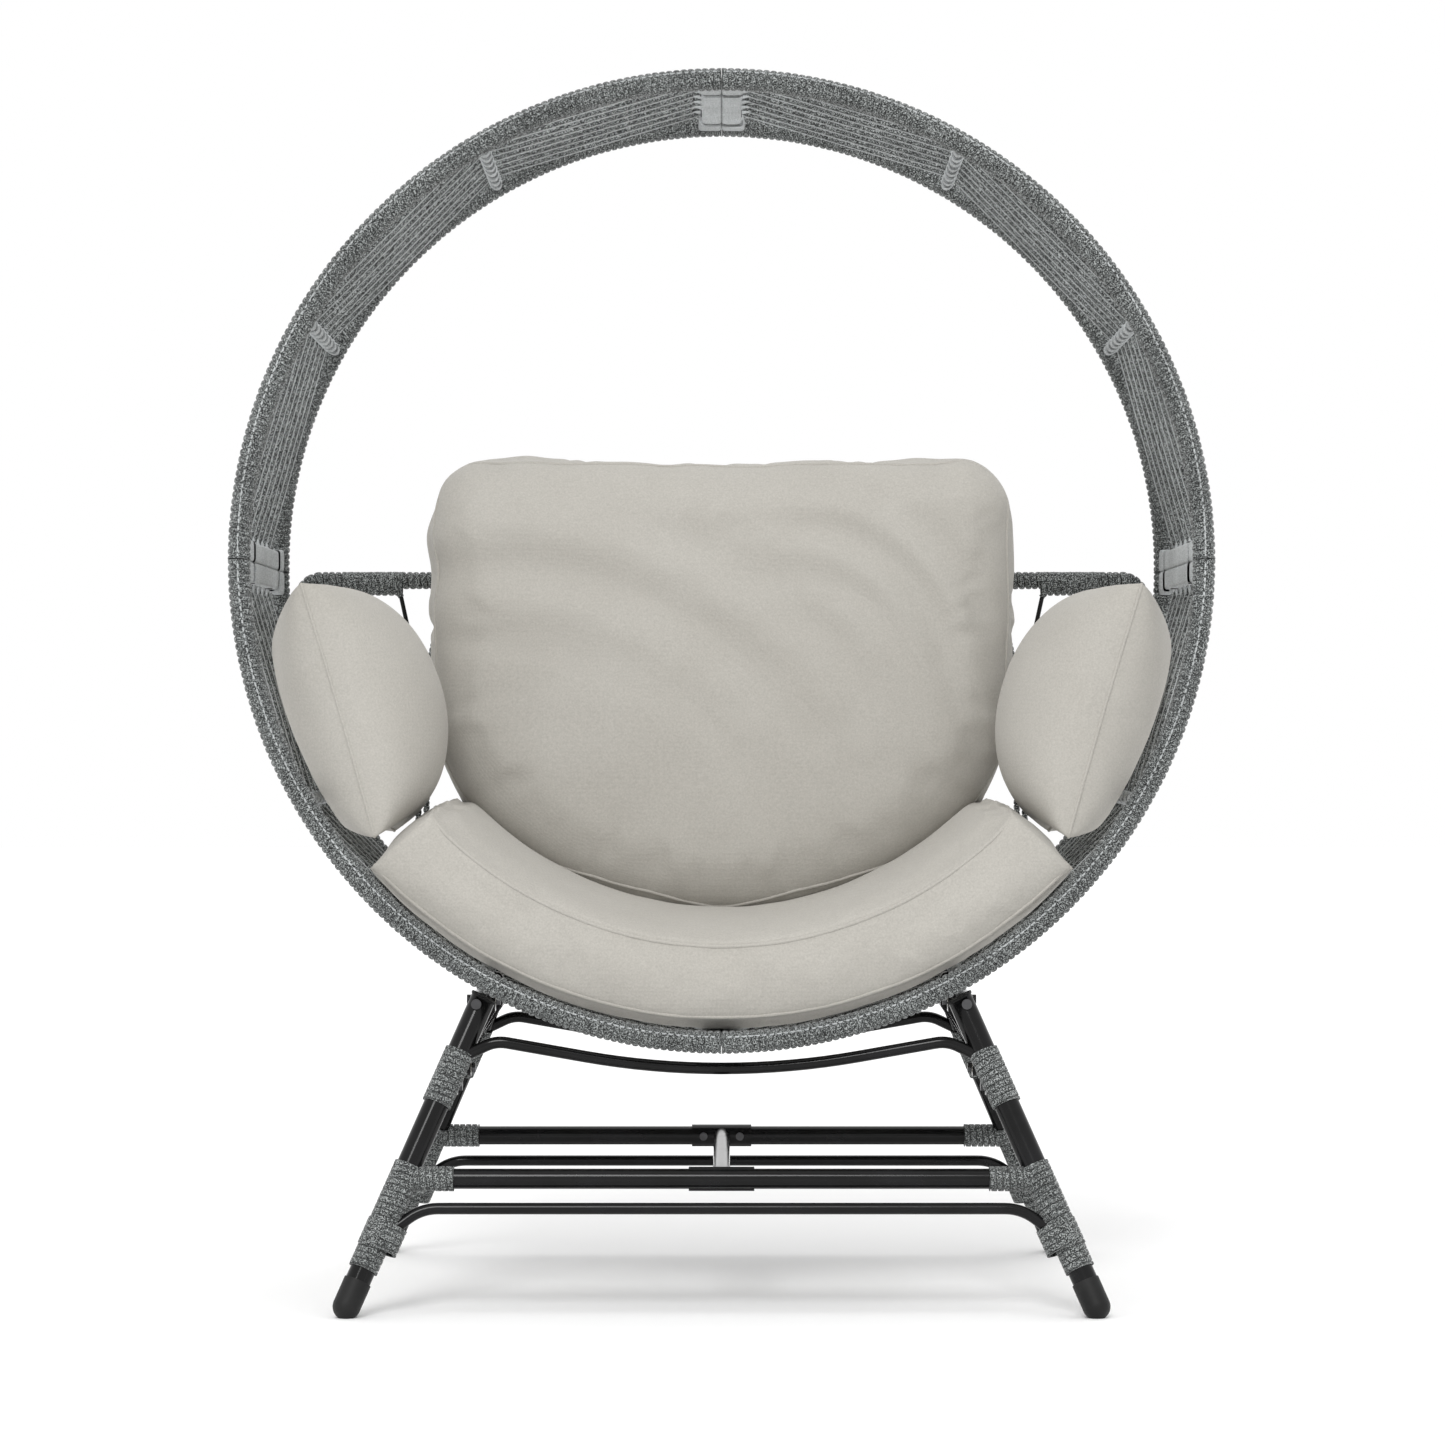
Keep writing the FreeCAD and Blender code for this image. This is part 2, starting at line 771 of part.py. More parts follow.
def arm_plate():
    """A flat bar cranked sideways between its eyes, so that it runs beside the leg."""
    top = Vector(upper_arm_x, 0, top_rail_height + arm_width / 2)
    high = Vector(upper_arm_x, 0, top_rail_height - arm_straight)
    low = Vector(lower_arm_x, 0, lower_pivot_height + arm_straight)
    bottom = Vector(lower_arm_x, 0, lower_pivot_height - arm_width / 2)
    left = Vector(-arm_thickness / 2, 0, 0)
    corners = [top + left, high + left, low + left, bottom + left]
    corners += [bottom - left, low - left, high - left, top - left, top + left]
    edge_on = Part.Face(Part.makePolygon(corners)).extrude(Vector(0, arm_width, 0))
    edge_on.translate(Vector(0, arm_pivot_y - arm_width / 2, 0))
    far = Vector(top_rail_x + glide_rail_x, 0, 0)
    upper_eye = Vector(0, arm_pivot_y, top_rail_height)
    lower_eye = Vector(0, arm_pivot_y, lower_pivot_height)
    outline = bar(upper_eye, upper_eye + far, arm_width / 2)
    outline = outline.fuse(bar(lower_eye, lower_eye + far, arm_width / 2))
    middle = Part.makeBox(far.x, arm_width, arm_length, lower_eye - Vector(0, arm_width / 2, 0))
    plate = edge_on.common(outline.fuse(middle))
    eyes = [bar(eye, eye + far, bush_radius) for eye in (upper_eye, lower_eye)]
    return less(plate, eyes)


def arm_bushes():
    pieces = []
    for x, height in ((upper_arm_x, top_rail_height), (lower_arm_x, lower_pivot_height)):
        reach = Vector(arm_thickness / 2 + bush_flange, 0, 0)
        centre = Vector(x, arm_pivot_y, height)
        bush = bar(centre - reach, centre + reach, bush_radius)
        pieces.append(bush.cut(bar(centre - reach, centre + reach, pin_radius + pin_running_clearance)))
    return pieces


def glide_rail_half():
    """The rail and its buffer stop just short of the wrapped leg at the end of the swing."""
    height = lower_pivot_height + arm_length * (1 - cos(glide_angle))
    leg_face = leg_axis(height).y - (leg_radius + leg_wrap) / leg_direction.z
    return leg_face - glide_travel - buffer_length - buffer_spare


def glide_rail_body(radius):
    half = glide_rail_half()
    start = Vector(glide_rail_x, -half, lower_pivot_height)
    return bar(start, Vector(glide_rail_x, half, lower_pivot_height), radius)


def glide_rail():
    bore = glide_rail_body(glide_rail_radius - glide_rail_wall)
    return less(glide_rail_body(glide_rail_radius), [bore] + cross_hole(glide_rail_x, lower_pivot_height))


def glide_rail_buffer():
    end = Vector(glide_rail_x, glide_rail_half(), lower_pivot_height)
    stop = bar(end, end + Vector(0, buffer_length, 0), buffer_radius + 1.5)
    stop = stop.makeFillet(3.0, [stop.Edges[0]])
    plug = bar(end - Vector(0, buffer_plug, 0), end, glide_rail_radius - glide_rail_wall - weld_gap)
    return stop.fuse(plug).removeSplitter()


def hanger_places():
    """Each hanger passes midway between two lacing cords."""
    angle = 180 - spacer_step
    shares = [(cord_count / 2 - 0.5) / (cord_count + 1), (cord_count / 2 + 1.5) / (cord_count + 1)]
    return [between_hoops(1, "lower", angle, share) for share in shares]


def hanger(place):
    """A flat bar bent round the inner side of the top rail, from a drum spacer to the glide rail."""
    inner_x = top_rail_x - top_rail_radius - hanger_rail_clearance - hanger_thickness / 2
    shelf = place.z - spacer_radius - hanger_thickness / 2 + hanger_weld_depth
    points = [
        Vector(place.x + spacer_radius, 0, shelf),
        Vector(inner_x, 0, shelf),
        Vector(inner_x, 0, top_rail_height - hanger_turn_drop),
        Vector(glide_rail_x, 0, lower_pivot_height),
    ]
    path = rounded_path(points, [hanger_bend, hanger_bend])
    across = Vector(0, hanger_width / 2, 0)
    up = Vector(0, 0, hanger_thickness / 2)
    first = points[0]
    corners = [first - across - up, first + across - up, first + across + up, first - across + up]
    section = Part.makePolygon(corners + [corners[0]])
    strap = path.makePipeShell([section], True, True)
    strap.translate(Vector(0, place.y, 0))
    return strap


def hangers():
    tools = [glide_rail_body(glide_rail_radius), spacer_body(1, "lower", 180 - spacer_step, spacer_radius)]
    right = [less(hanger(place), tools) for place in hanger_places()]
    return [at_corner(piece, side, 1) for side in SIDES.values() for piece in right]


# Cushions, as plain closed solids


def seat_cushion():
    outer = hoop_radius - hoop_tube_radius - hoop_wrap - cushion_clearance
    inner = outer - seat_thickness
    middle = (seat_front + seat_back) / 2
    low_front = Vector(0, seat_front, hoop_centre_height - outer)
    low_back = Vector(0, seat_back, hoop_centre_height - outer)
    high_back = Vector(0, seat_back, hoop_centre_height - inner)
    high_front = Vector(0, seat_front, hoop_centre_height - inner)
    crown = Vector(0, middle, hoop_centre_height - inner + seat_crown)
    edges = [
        Part.LineSegment(high_front, low_front).toShape(),
        Part.LineSegment(low_front, low_back).toShape(),
        Part.LineSegment(low_back, high_back).toShape(),
        Part.Arc(high_back, crown, high_front).toShape(),
    ]
    face = Part.Face(Part.Wire(edges))
    face.rotate(drum_axis, Vector(0, 1, 0), -seat_half_angle)
    return face.revolve(drum_axis, Vector(0, 1, 0), 2 * seat_half_angle)


def back_cushion():
    outer = hoop_radius - hoop_tube_radius - hoop_wrap - cushion_clearance
    low_radius = outer - seat_thickness - seat_crown - back_to_seat
    low_z = hoop_centre_height - math.sqrt(low_radius**2 - back_half_width**2)
    left_low = Vector(-back_half_width, back_front, low_z)
    right_low = Vector(back_half_width, back_front, low_z)
    left_top = Vector(-back_half_width, back_front, back_top)
    right_top = Vector(back_half_width, back_front, back_top)
    bottom = Vector(0, back_front, hoop_centre_height - low_radius)
    edges = [
        Part.LineSegment(left_low, left_top).toShape(),
        Part.LineSegment(left_top, right_top).toShape(),
        Part.LineSegment(right_top, right_low).toShape(),
        Part.Arc(right_low, bottom, left_low).toShape(),
    ]
    block = Part.Face(Part.Wire(edges)).extrude(Vector(0, back_rear - back_front, 0))
    for radius, height in ((back_top_corner, back_top), (back_low_corner, low_z)):
        corners = [edge for edge in block.Edges if is_crosswise(edge, height)]
        block = block.makeFillet(radius, corners)
    rims = []
    for edge in block.Edges:
        y = edge.CenterOfMass.y
        if abs(y - back_front) < 0.1 or abs(y - back_rear) < 0.1:
            rims.append(edge)
    return block.makeFillet(back_edge, rims)


def is_crosswise(edge, height):
    ends = [vertex.Point for vertex in edge.Vertexes]
    if len(ends) < 2:
        return False
    run = ends[1] - ends[0]
    level = abs(ends[0].z - height) < 0.1 and abs(ends[1].z - height) < 0.1
    return level and abs(run.y) > 1 and abs(run.x) < 0.1


def lens(half, thick_in, thick_out, along, extrusion):
    """A lens with blunt ends: its thickness along X, its length along the given unit vector."""
    inner = Vector(thick_in, 0, 0)
    outer = Vector(-thick_out, 0, 0)
    blunt = Vector(pillow_edge, 0, 0)
    top = along * half
    edges = [
        Part.Arc(top + blunt, inner, blunt - top).toShape(),
        Part.LineSegment(blunt - top, (blunt + top) * -1).toShape(),
        Part.Arc((blunt + top) * -1, outer, top - blunt).toShape(),
        Part.LineSegment(top - blunt, top + blunt).toShape(),
    ]
    body = Part.Face(Part.Wire(edges)).extrude(extrusion)
    body.translate(extrusion * -0.5)
    return body


def pillow():
    """The left pillow, leaning out against the drum's side."""
    upright = lens(pillow_length / 2, pillow_inner, pillow_outer, Vector(0, 0, 1), Vector(0, pillow_depth, 0))
    up = Vector(0, 0, pillow_length)
    fore_aft = lens(pillow_depth / 2, pillow_inner, pillow_outer, Vector(0, 1, 0), up)
    body = upright.common(fore_aft)
    body.rotate(Vector(0, 0, 0), Vector(0, 1, 0), -pillow_lean)
    room = hoop_radius - hoop_tube_radius - hoop_wrap - cushion_clearance
    centre = drum_axis + outward(-1, 180 - pillow_angle) * (room - pillow_inset)
    body.translate(Vector(centre.x, pillow_y, centre.z))
    start = Vector(0, pillow_y - pillow_depth, hoop_centre_height)
    return body.common(bar(start, start + Vector(0, 2 * pillow_depth, 0), room))


# The nodes


def base_nodes():
    nodes = {}
    for end_name, end in ENDS.items():
        for side_name, side in SIDES.items():
            nodes["leg_%s_%s" % (end_name, side_name)] = [at_corner(leg(), side, end)]
        nodes["%s_crossbar" % end_name] = [at_corner(crossbar(), 1, end)]
        lower = less(lower_rod_body(lower_rod_radius), both_legs(leg_radius))
        upper = less(upper_rod_body(upper_rod_radius), both_legs(leg_radius))
        nodes["%s_lower_rod" % end_name] = [at_corner(lower, 1, end)]
        nodes["%s_upper_rod" % end_name] = [at_corner(upper, 1, end)]
    nodes["leg_top_caps"] = at_all_corners(leg_top_cap())
    nodes["foot_caps"] = at_all_corners(foot_cap())
    nodes["upper_leg_wraps"] = at_all_corners(upper_leg_wrap())
    nodes["lower_leg_wraps"] = at_all_corners(lower_leg_wrap())
    nodes["centre_stretcher"] = [centre_stretcher()]
    nodes["stretcher_saddles"] = [at_corner(saddle(), 1, end) for end in ENDS.values()]
    nodes["saddle_bolts"] = [at_corner(bolt, 1, end) for end in ENDS.values() for bolt in saddle_bolts()]
    for side_name, side in SIDES.items():
        nodes["%s_top_rail" % side_name] = [at_corner(top_rail(), side, 1)]
    nodes["rail_bolts"] = at_all_corners(rail_bolt())
    upper = (top_rail_x, top_rail_radius, upper_arm_x, top_rail_height)
    nodes["upper_pivot_bolts"] = at_all_corners(pivot_bolt(*upper))
    nodes["upper_pivot_spacers"] = at_all_corners(pivot_spacer(*upper))
    nodes["upper_pivot_nuts"] = at_all_corners(pivot_nut_solid(upper_arm_x, top_rail_height))
    return nodes


def arm_nodes():
    nodes = {}
    for end_name, end in ENDS.items():
        for side_name, side in SIDES.items():
            name = "arm_%s_%s" % (end_name, side_name)
            nodes[name] = [at_corner(arm_plate(), side, end)]
            nodes[name + "_bushes"] = [at_corner(bush, side, end) for bush in arm_bushes()]
    return nodes


def glide_nodes():
    nodes = {}
    for side_name, side in SIDES.items():
        nodes["%s_glide_rail" % side_name] = [at_corner(glide_rail(), side, 1)]
    nodes["glide_rail_buffers"] = at_all_corners(glide_rail_buffer())
    lower = (glide_rail_x, glide_rail_radius, lower_arm_x, lower_pivot_height)
    nodes["lower_pivot_bolts"] = at_all_corners(pivot_bolt(*lower))
    nodes["lower_pivot_spacers"] = at_all_corners(pivot_spacer(*lower))
    nodes["lower_pivot_nuts"] = at_all_corners(pivot_nut_solid(lower_arm_x, lower_pivot_height))
    nodes["hangers"] = hangers()
    return nodes


def drum_nodes(hanger_bars):
    nodes = {}
    for half in HALVES:
        for side_name, side in SIDES.items():
            nodes["%s_%s_frame" % (half, side_name)] = quarter_frame(side, half)
            nodes["%s_%s_lacing" % (half, side_name)] = lacing(side, half)
    nodes["frame_bolts"] = frame_bolts()
    nodes["frame_nuts"] = frame_nuts()
    arch_rods = [sweep(path, arch_radius) for path in arch_paths()]
    nodes["hoop_wraps"] = hoop_wraps(arch_rods + [sweep(back_bar_path(), back_bar_radius)])
    nodes["spacer_wraps"] = spacer_wraps(hanger_bars)
    nodes["joint_wraps"] = joint_wraps()
    nodes["back_bar"] = [back_bar()]
    nodes["back_arches"] = back_arches()
    nodes["backrest_wraps"] = backrest_wraps(arch_rods)
    return nodes


def cushion_nodes():
    left = pillow()
    return {
        "seat_cushion": [seat_cushion()],
        "back_cushion": [back_cushion()],
        "left_pillow": [left],
        "right_pillow": [left.mirror(Vector(0, 0, 0), Vector(1, 0, 0))],
    }


def build():
    nodes = base_nodes()
    nodes.update(arm_nodes())
    nodes.update(glide_nodes())
    nodes.update(drum_nodes(nodes["hangers"]))
    nodes.update(cushion_nodes())
    os.makedirs("parts", exist_ok=True)
    for name, pieces in nodes.items():
        shape = pieces[0]
        if len(pieces) > 1:
            shape = Part.makeCompound(pieces)
        shape.exportStep("parts/%s.step" % name)
        print(name, len(shape.Solids), round(sum(s.Volume for s in shape.Solids)), shape.isValid())


build()
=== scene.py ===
import json
import math

import bpy
import numpy as np
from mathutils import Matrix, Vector, noise
from mathutils.bvhtree import BVHTree


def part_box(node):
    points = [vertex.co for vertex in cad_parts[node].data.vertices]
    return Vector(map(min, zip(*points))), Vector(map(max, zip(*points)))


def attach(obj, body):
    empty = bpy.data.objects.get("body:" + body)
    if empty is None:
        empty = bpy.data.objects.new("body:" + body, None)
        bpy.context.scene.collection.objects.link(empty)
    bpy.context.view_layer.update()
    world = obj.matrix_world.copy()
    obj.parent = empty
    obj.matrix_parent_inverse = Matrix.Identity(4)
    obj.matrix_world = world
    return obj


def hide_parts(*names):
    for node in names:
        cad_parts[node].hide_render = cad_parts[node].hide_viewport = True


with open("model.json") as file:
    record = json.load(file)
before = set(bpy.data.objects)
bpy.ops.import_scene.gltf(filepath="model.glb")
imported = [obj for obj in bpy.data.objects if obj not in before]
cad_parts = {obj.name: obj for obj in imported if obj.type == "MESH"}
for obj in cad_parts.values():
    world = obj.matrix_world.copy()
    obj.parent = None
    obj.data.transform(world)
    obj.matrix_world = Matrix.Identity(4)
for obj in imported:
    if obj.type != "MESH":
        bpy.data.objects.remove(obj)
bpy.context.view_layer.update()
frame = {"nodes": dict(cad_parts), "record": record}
nodes = frame["nodes"]
chance = np.random.RandomState(11)

# Sizes of the drum, the base, the cushions and their windings, in metres and degrees
HOOP_RADIUS = 0.608
HOOP_HEIGHT = 0.944
HALF_DEPTH = 0.250
FRONT_LEAN = 2.0
REAR_LEAN = 9.0
HOOP_TUBE = 0.011
HOOP_LIFT = 0.0035
ROPE_END_GAP = 0.0005
SPACER_STEP = 30.0
SPACER_RADIUS = 0.005
SPACER_LIFT = 0.0022
# Under each cord the spacer carries low dark turns instead of light twine: painted shade for the dark crescent
# under each tie.
BARE_STRETCH = 0.022
SHADE_TURN_LIFT = SPACER_LIFT * 0.15
SHADE_TURN_PITCH = 0.005
END_SPACER_WIDTH = 0.020
END_SPACER_HEIGHT = 0.012
END_SPACER_GAP = 0.006
END_SPACER_LIFT = 0.0025
END_SPACER_EASE = 0.0004
CORD_RADIUS = 0.0033
CORD_COUNT = 8
CORD_CLEARANCE = 0.0004
CORD_EDGE_BEND = 0.012
CORD_EDGE_EASE = 0.001
ROPE_PITCH = 0.0089
LEG_ROPE_PITCH = 0.0084
ARCH_ROPE_PITCH = 0.0065
TWINE_PITCH = 0.0034
TIE_RADIUS = 0.0011
TIE_STEPS = 12
TIE_START = -0.08
TIE_TURN = 1.16
TIE_SLANT = 1.5
TIE_SINK = 0.6
TWINE_TUCK = 0.001
JOINT_TUCK = 0.002
JOINT_WIDENING = 0.42
JOINT_WIDENING_REACH = 0.09
# The grooves between the lengths of twine on the end spacers are real gaps, filled with low dark turns as
# painted shade.
GROOVE = 0.011
GROOVE_SHARES = (0.215, 0.84)
GROOVE_LIFT = 0.0004
GROOVE_PITCH = 0.006
# The light thread along the front hoop is a painted highlight, standing in for the glints of light between the
# hoop rope's turns.
GLINT_THREAD_RADIUS = 0.0013
GLINT_THREAD_MIDDLE = 0.05
GLINT_THREAD_SWING = 0.6
GLINT_THREAD_SINK = 0.0001
GLINT_THREAD_INSET = 0.3
GLINT_THREAD_STEPS = 120
# The light thread beside each cord is partly real twine and partly a painted highlight along the cord's lit
# edge.
EDGE_THREAD = 0.0012
EDGE_THREAD_BACK = 0.45
EDGE_THREAD_REACH = 0.92
BARB_RADIUS = 0.0023
BARB_TAPER = 0.75
BARB_LINE = ((-0.004, 0.0095), (0.004, 0.0060), (0.011, 0.0030), (0.017, 0.0005))
BARB_BENDS = (0.012, 0.020)
BARB_STEP = 0.0015
BARB_CORD_STEP = 0.002
BARB_CORD_POINTS = 30
BARBED_CORDS = slice(2, 7)
BAR_HEIGHT = 0.933
BAR_HALF_SPAN = 0.575
BAR_RADIUS = 0.0095
BAR_LIFT = 0.0025
BAR_BEND = 0.025
ARCH_COUNT = 8
ARCH_PITCH = 0.137
ARCH_HALF_TOP = 0.037
ARCH_HALF_WIDTH = 0.063
ARCH_DROP = 0.120
ARCH_RADIUS = 0.003
ARCH_LIFT = 0.0015
ARCH_BEND = 0.016
ARCH_FOOT_BEND = 0.064
ARCH_TOUCH = 0.004
LASHING_LIFT = BAR_LIFT * 0.4
FOOT = (0.471, 0.345)
LEG_LEAN = (0.435, 0.333)
LEG_RADIUS = 0.016
LEG_LIFT = 0.003
UPPER_WRAP = (0.258, 0.322)
LOWER_WRAP = (0.058, 0.183)
ROD_LASHING = (0.082, 0.112)
ROD_LASHING_SHIFT = 0.006
ROD_LASHING_HALF = (LEG_RADIUS + LEG_LIFT + 0.004, LEG_RADIUS + 0.0015)
CROSSBAR_HEIGHT = 0.167
CROSSBAR_RADIUS = 0.0127
CROSSBAR_WRAP_END = 0.335
CROSSBAR_WRAP_TUCK = LEG_RADIUS * 0.6
GUIDE_STEP = 0.02
SPACER_GUIDE_STEP = 0.05
CORD_STEP = 0.012
CUSHION_CLEARANCE = 0.003
SEAT_THICKNESS = 0.108
SEAT_HALF_ANGLE = 49.5
SEAT_FRONT = -0.250
SEAT_BACK = 0.240
SEAT_CORNER = 0.03
SEAT_SEAM_INSET = 0.004
PILLOW_LENGTH = 0.333
PILLOW_DEPTH = 0.350
PILLOW_INNER = 0.126
PILLOW_OUTER = 0.093
PILLOW_LEAN = 16.2
PILLOW_CENTRE = (0.486, -0.058, 0.753)
PILLOW_CELLS = 52
PILLOW_CROWDING = 0.35
PILLOW_FRONT_PULL = 0.07
PILLOW_TOP_PULL = 0.06
PILLOW_TALLER = 0.006
PILLOW_FULLNESS = 0.44
PILLOW_START = 0.985
PILLOW_PRESSURE = 3.0
PILLOW_CAP = 0.010
PILLOW_PIPING = 0.0024
PIPING = 0.0028
PIPING_STEP = 0.010
PIPING_SINK = 0.25
CORNER_CUT = 0.3
BACK_SEAM_DEPTH = 0.040
BACK_SEAM_INSET = 0.0125
BACK_SEAM_LOW = 0.11
BACK_SEAM_FOOT = 0.01
BACK_SEAM_BEND = 0.062
CLOTH_FRAMES = 20

# The stage, in metres and degrees
FLOOR_SIZE = 40
CAMERA_PLACE = (0.0012, -5.795, 0.738)
CAMERA_LENS = 109.6
CAMERA_SENSOR = 36.0
LIGHT_TARGET = (0, 0, 0.7)
LIGHTS = {
    "key_light": {"place": (-0.5, -3.0, 3.4), "angle": 20.0, "strength": 1.15},
    "fill_light": {"place": (0.8, 1.2, 4.0), "angle": 60.0, "strength": 0.25},
}

# The end of a tube: a smaller ring, raised a little, closed by one face; both as shares of the tube's radius
CAP_SHRINK = 0.6
CAP_RISE = 0.4

SIDES = {"left": -1, "right": 1}
ENDS = {"front": -1, "rear": 1}
HALVES = {"upper": 0.0, "lower": 90.0}


# Materials


def new_material(name, base, roughness, sheen=0.0, metallic=0.0, shine=0.5):
    material = bpy.data.materials.new(name)
    material.use_nodes = True
    shader = material.node_tree.nodes["Principled BSDF"]
    shader.inputs["Base Color"].default_value = (*base, 1)
    shader.inputs["Roughness"].default_value = roughness
    shader.inputs["Metallic"].default_value = metallic
    shader.inputs["Sheen Weight"].default_value = sheen
    shader.inputs["Specular IOR Level"].default_value = shine
    return material, material.node_tree, shader


def node(tree, kind, **settings):
    made = tree.nodes.new(kind)
    for key, value in settings.items():
        if key in made.inputs:
            made.inputs[key].default_value = value
        else:
            setattr(made, key, value)
    return made


def grey(level):
    return (level,) * 3


def place(tree):
    return tree.nodes.new("ShaderNodeTexCoord").outputs["Object"]


def speckle(tree, scale, detail=2.0, roughness=0.6):
    made = node(tree, "ShaderNodeTexNoise", Scale=scale, Detail=detail, Roughness=roughness)
    tree.links.new(place(tree), made.inputs["Vector"])
    return made.outputs["Fac"]


def ramp(tree, value, stops):
    made = tree.nodes.new("ShaderNodeValToRGB")
    elements = made.color_ramp.elements
    while len(elements) < len(stops):
        elements.new(0.5)
    for element, (position, colour) in zip(elements, stops):
        element.position = position
        element.color = (*colour, 1)
    tree.links.new(value, made.inputs["Fac"])
    return made.outputs["Color"]


def blend_colours(tree, how, amount, first, second):
    made = node(tree, "ShaderNodeMix", data_type="RGBA", blend_type=how)
    made.inputs[0].default_value = amount
    tree.links.new(first, made.inputs[6])
    tree.links.new(second, made.inputs[7])
    return made.outputs[2]


def maths(tree, how, first, second):
    made = node(tree, "ShaderNodeMath", operation=how)
    for index, value in enumerate((first, second)):
        if isinstance(value, float):
            made.inputs[index].default_value = value
        else:
            tree.links.new(value, made.inputs[index])
    return made.outputs[0]


def bump(tree, shader, height, strength, distance):
    made = node(tree, "ShaderNodeBump", Strength=strength, Distance=distance)
    tree.links.new(height, made.inputs["Height"])
    tree.links.new(made.outputs["Normal"], shader.inputs["Normal"])


def rope_material(name, dark, middle, light, grain, sheen):
    """Braided yarns of mixed greys: small dark and light flecks over slow changes of tone."""
    material, tree, shader = new_material(name, middle, 0.85, sheen=sheen)
    shader.inputs["Sheen Roughness"].default_value = 0.4
    fine = speckle(tree, grain, 1.0)
    flecks = ramp(tree, fine, [(0.36, dark), (0.5, middle), (0.64, light)])
    tone = ramp(tree, speckle(tree, 9.0), [(0.3, grey(0.84)), (0.7, grey(1.12))])
    mixed = blend_colours(tree, "MULTIPLY", 1.0, flecks, tone)
    tree.links.new(mixed, shader.inputs["Base Color"])
    rough = ramp(tree, fine, [(0.3, grey(0.95)), (0.7, grey(0.62))])
    tree.links.new(rough, shader.inputs["Roughness"])
    bump(tree, shader, fine, 0.8, 0.0012)
    return material


def woven_material(name, base, shade):
    """A plain weave from waves along X, Y and Z, which needs no unwrapping, with slubs and a soft nap."""
    material, tree, shader = new_material(name, base, 0.9, sheen=0.15)
    threads = []
    for direction in ("X", "Y", "Z"):
        wave = node(tree, "ShaderNodeTexWave", bands_direction=direction, Scale=190.0, Distortion=1.2)
        tree.links.new(place(tree), wave.inputs["Vector"])
        threads.append(wave.outputs["Fac"])
    weave = maths(tree, "MULTIPLY", maths(tree, "ADD", threads[0], threads[1]), threads[2])
    slubs = speckle(tree, 420.0, 3.0)
    cloud = ramp(tree, speckle(tree, 6.0), [(0.3, shade), (0.7, base)])
    flecks = ramp(tree, slubs, [(0.3, grey(0.90)), (0.7, grey(1.07))])
    mixed = blend_colours(tree, "MULTIPLY", 1.0, cloud, flecks)
    tree.links.new(mixed, shader.inputs["Base Color"])
    rough = ramp(tree, slubs, [(0.3, grey(0.97)), (0.7, grey(0.78))])
    tree.links.new(rough, shader.inputs["Roughness"])
    bump(tree, shader, maths(tree, "ADD", weave, slubs), 0.35, 0.0006)
    return material


def coated_material(name, base, worn, rough_low, rough_high, grain, strength, metallic=0.0, shine=0.5):
    """Powder coat or moulded plastic: a fine orange-peel skin, duller and paler where it is rubbed."""
    material, tree, shader = new_material(name, base, rough_low, metallic=metallic, shine=shine)
    patches = speckle(tree, 14.0, 4.0)
    peel = speckle(tree, grain, 2.0)
    colour = ramp(tree, patches, [(0.42, base), (0.72, worn)])
    tree.links.new(colour, shader.inputs["Base Color"])
    rough = ramp(tree, patches, [(0.35, grey(rough_low)), (0.75, grey(rough_high))])
    tree.links.new(rough, shader.inputs["Roughness"])
    bump(tree, shader, peel, strength, 0.0004)
    return material


materials = {
    "black_frame": coated_material(
        "black_frame", base=grey(0.004), worn=(0.008, 0.008, 0.009), rough_low=0.10, rough_high=0.17,
        grain=900.0, strength=0.05, shine=0.22,
    ),
    "dark_rope": rope_material(
        "dark_rope", dark=grey(0.005), middle=(0.052, 0.057, 0.056), light=(0.37, 0.39, 0.385), grain=620.0,
        sheen=0.25,
    ),
    "light_cord": rope_material(
        "light_cord", dark=(0.33, 0.345, 0.35), middle=(0.46, 0.48, 0.485), light=(0.58, 0.60, 0.605),
        grain=900.0, sheen=0.2,
    ),
    "cushion_fabric": woven_material(
        "cushion_fabric", base=(0.445, 0.428, 0.391), shade=(0.420, 0.402, 0.365)
    ),
    "black_plastic": coated_material(
        "black_plastic", base=grey(0.008), worn=grey(0.018), rough_low=0.45, rough_high=0.60, grain=1400.0,
        strength=0.5, shine=0.25,
    ),
    "fastener_black": coated_material(
        "fastener_black", base=(0.07, 0.07, 0.072), worn=(0.13, 0.13, 0.135), rough_low=0.28, rough_high=0.42,
        grain=1500.0, strength=0.2, metallic=0.9,
    ),
    "bush_nylon": coated_material(
        "bush_nylon", base=(0.72, 0.70, 0.64), worn=(0.62, 0.60, 0.55), rough_low=0.40, rough_high=0.55,
        grain=1100.0, strength=0.2,
    ),
    "buffer_rubber": coated_material(
        "buffer_rubber", base=grey(0.014), worn=grey(0.035), rough_low=0.7, rough_high=0.85, grain=1300.0,
        strength=0.6,
    ),
}
slot_of = {part["node"]: part["material_slot"] for part in frame["record"]["subparts"]}
for name, thing in nodes.items():
    if not thing.material_slots:
        thing.data.materials.append(None)
    for holder in thing.material_slots:
        holder.material = materials[slot_of[name]]


# Guides: lines through space with two directions square to them


def unit(v):
    return v / np.linalg.norm(v, axis=-1, keepdims=True)


def tangents(points, closed=False):
    if closed:
        return unit(np.roll(points, -1, axis=0) - np.roll(points, 1, axis=0))
    return unit(np.gradient(points, axis=0))


def carried_frames(points, first, closed=False):
    """Two directions at each point, carried along without twist from the first one."""
    along = tangents(points, closed)
    normal = np.array(first, float)
    normals = []
    for tangent in along:
        normal = normal - tangent * normal.dot(tangent)
        normal = normal / np.linalg.norm(normal)
        normals.append(normal)
    normals = np.array(normals)
    return normals, np.cross(along, normals)


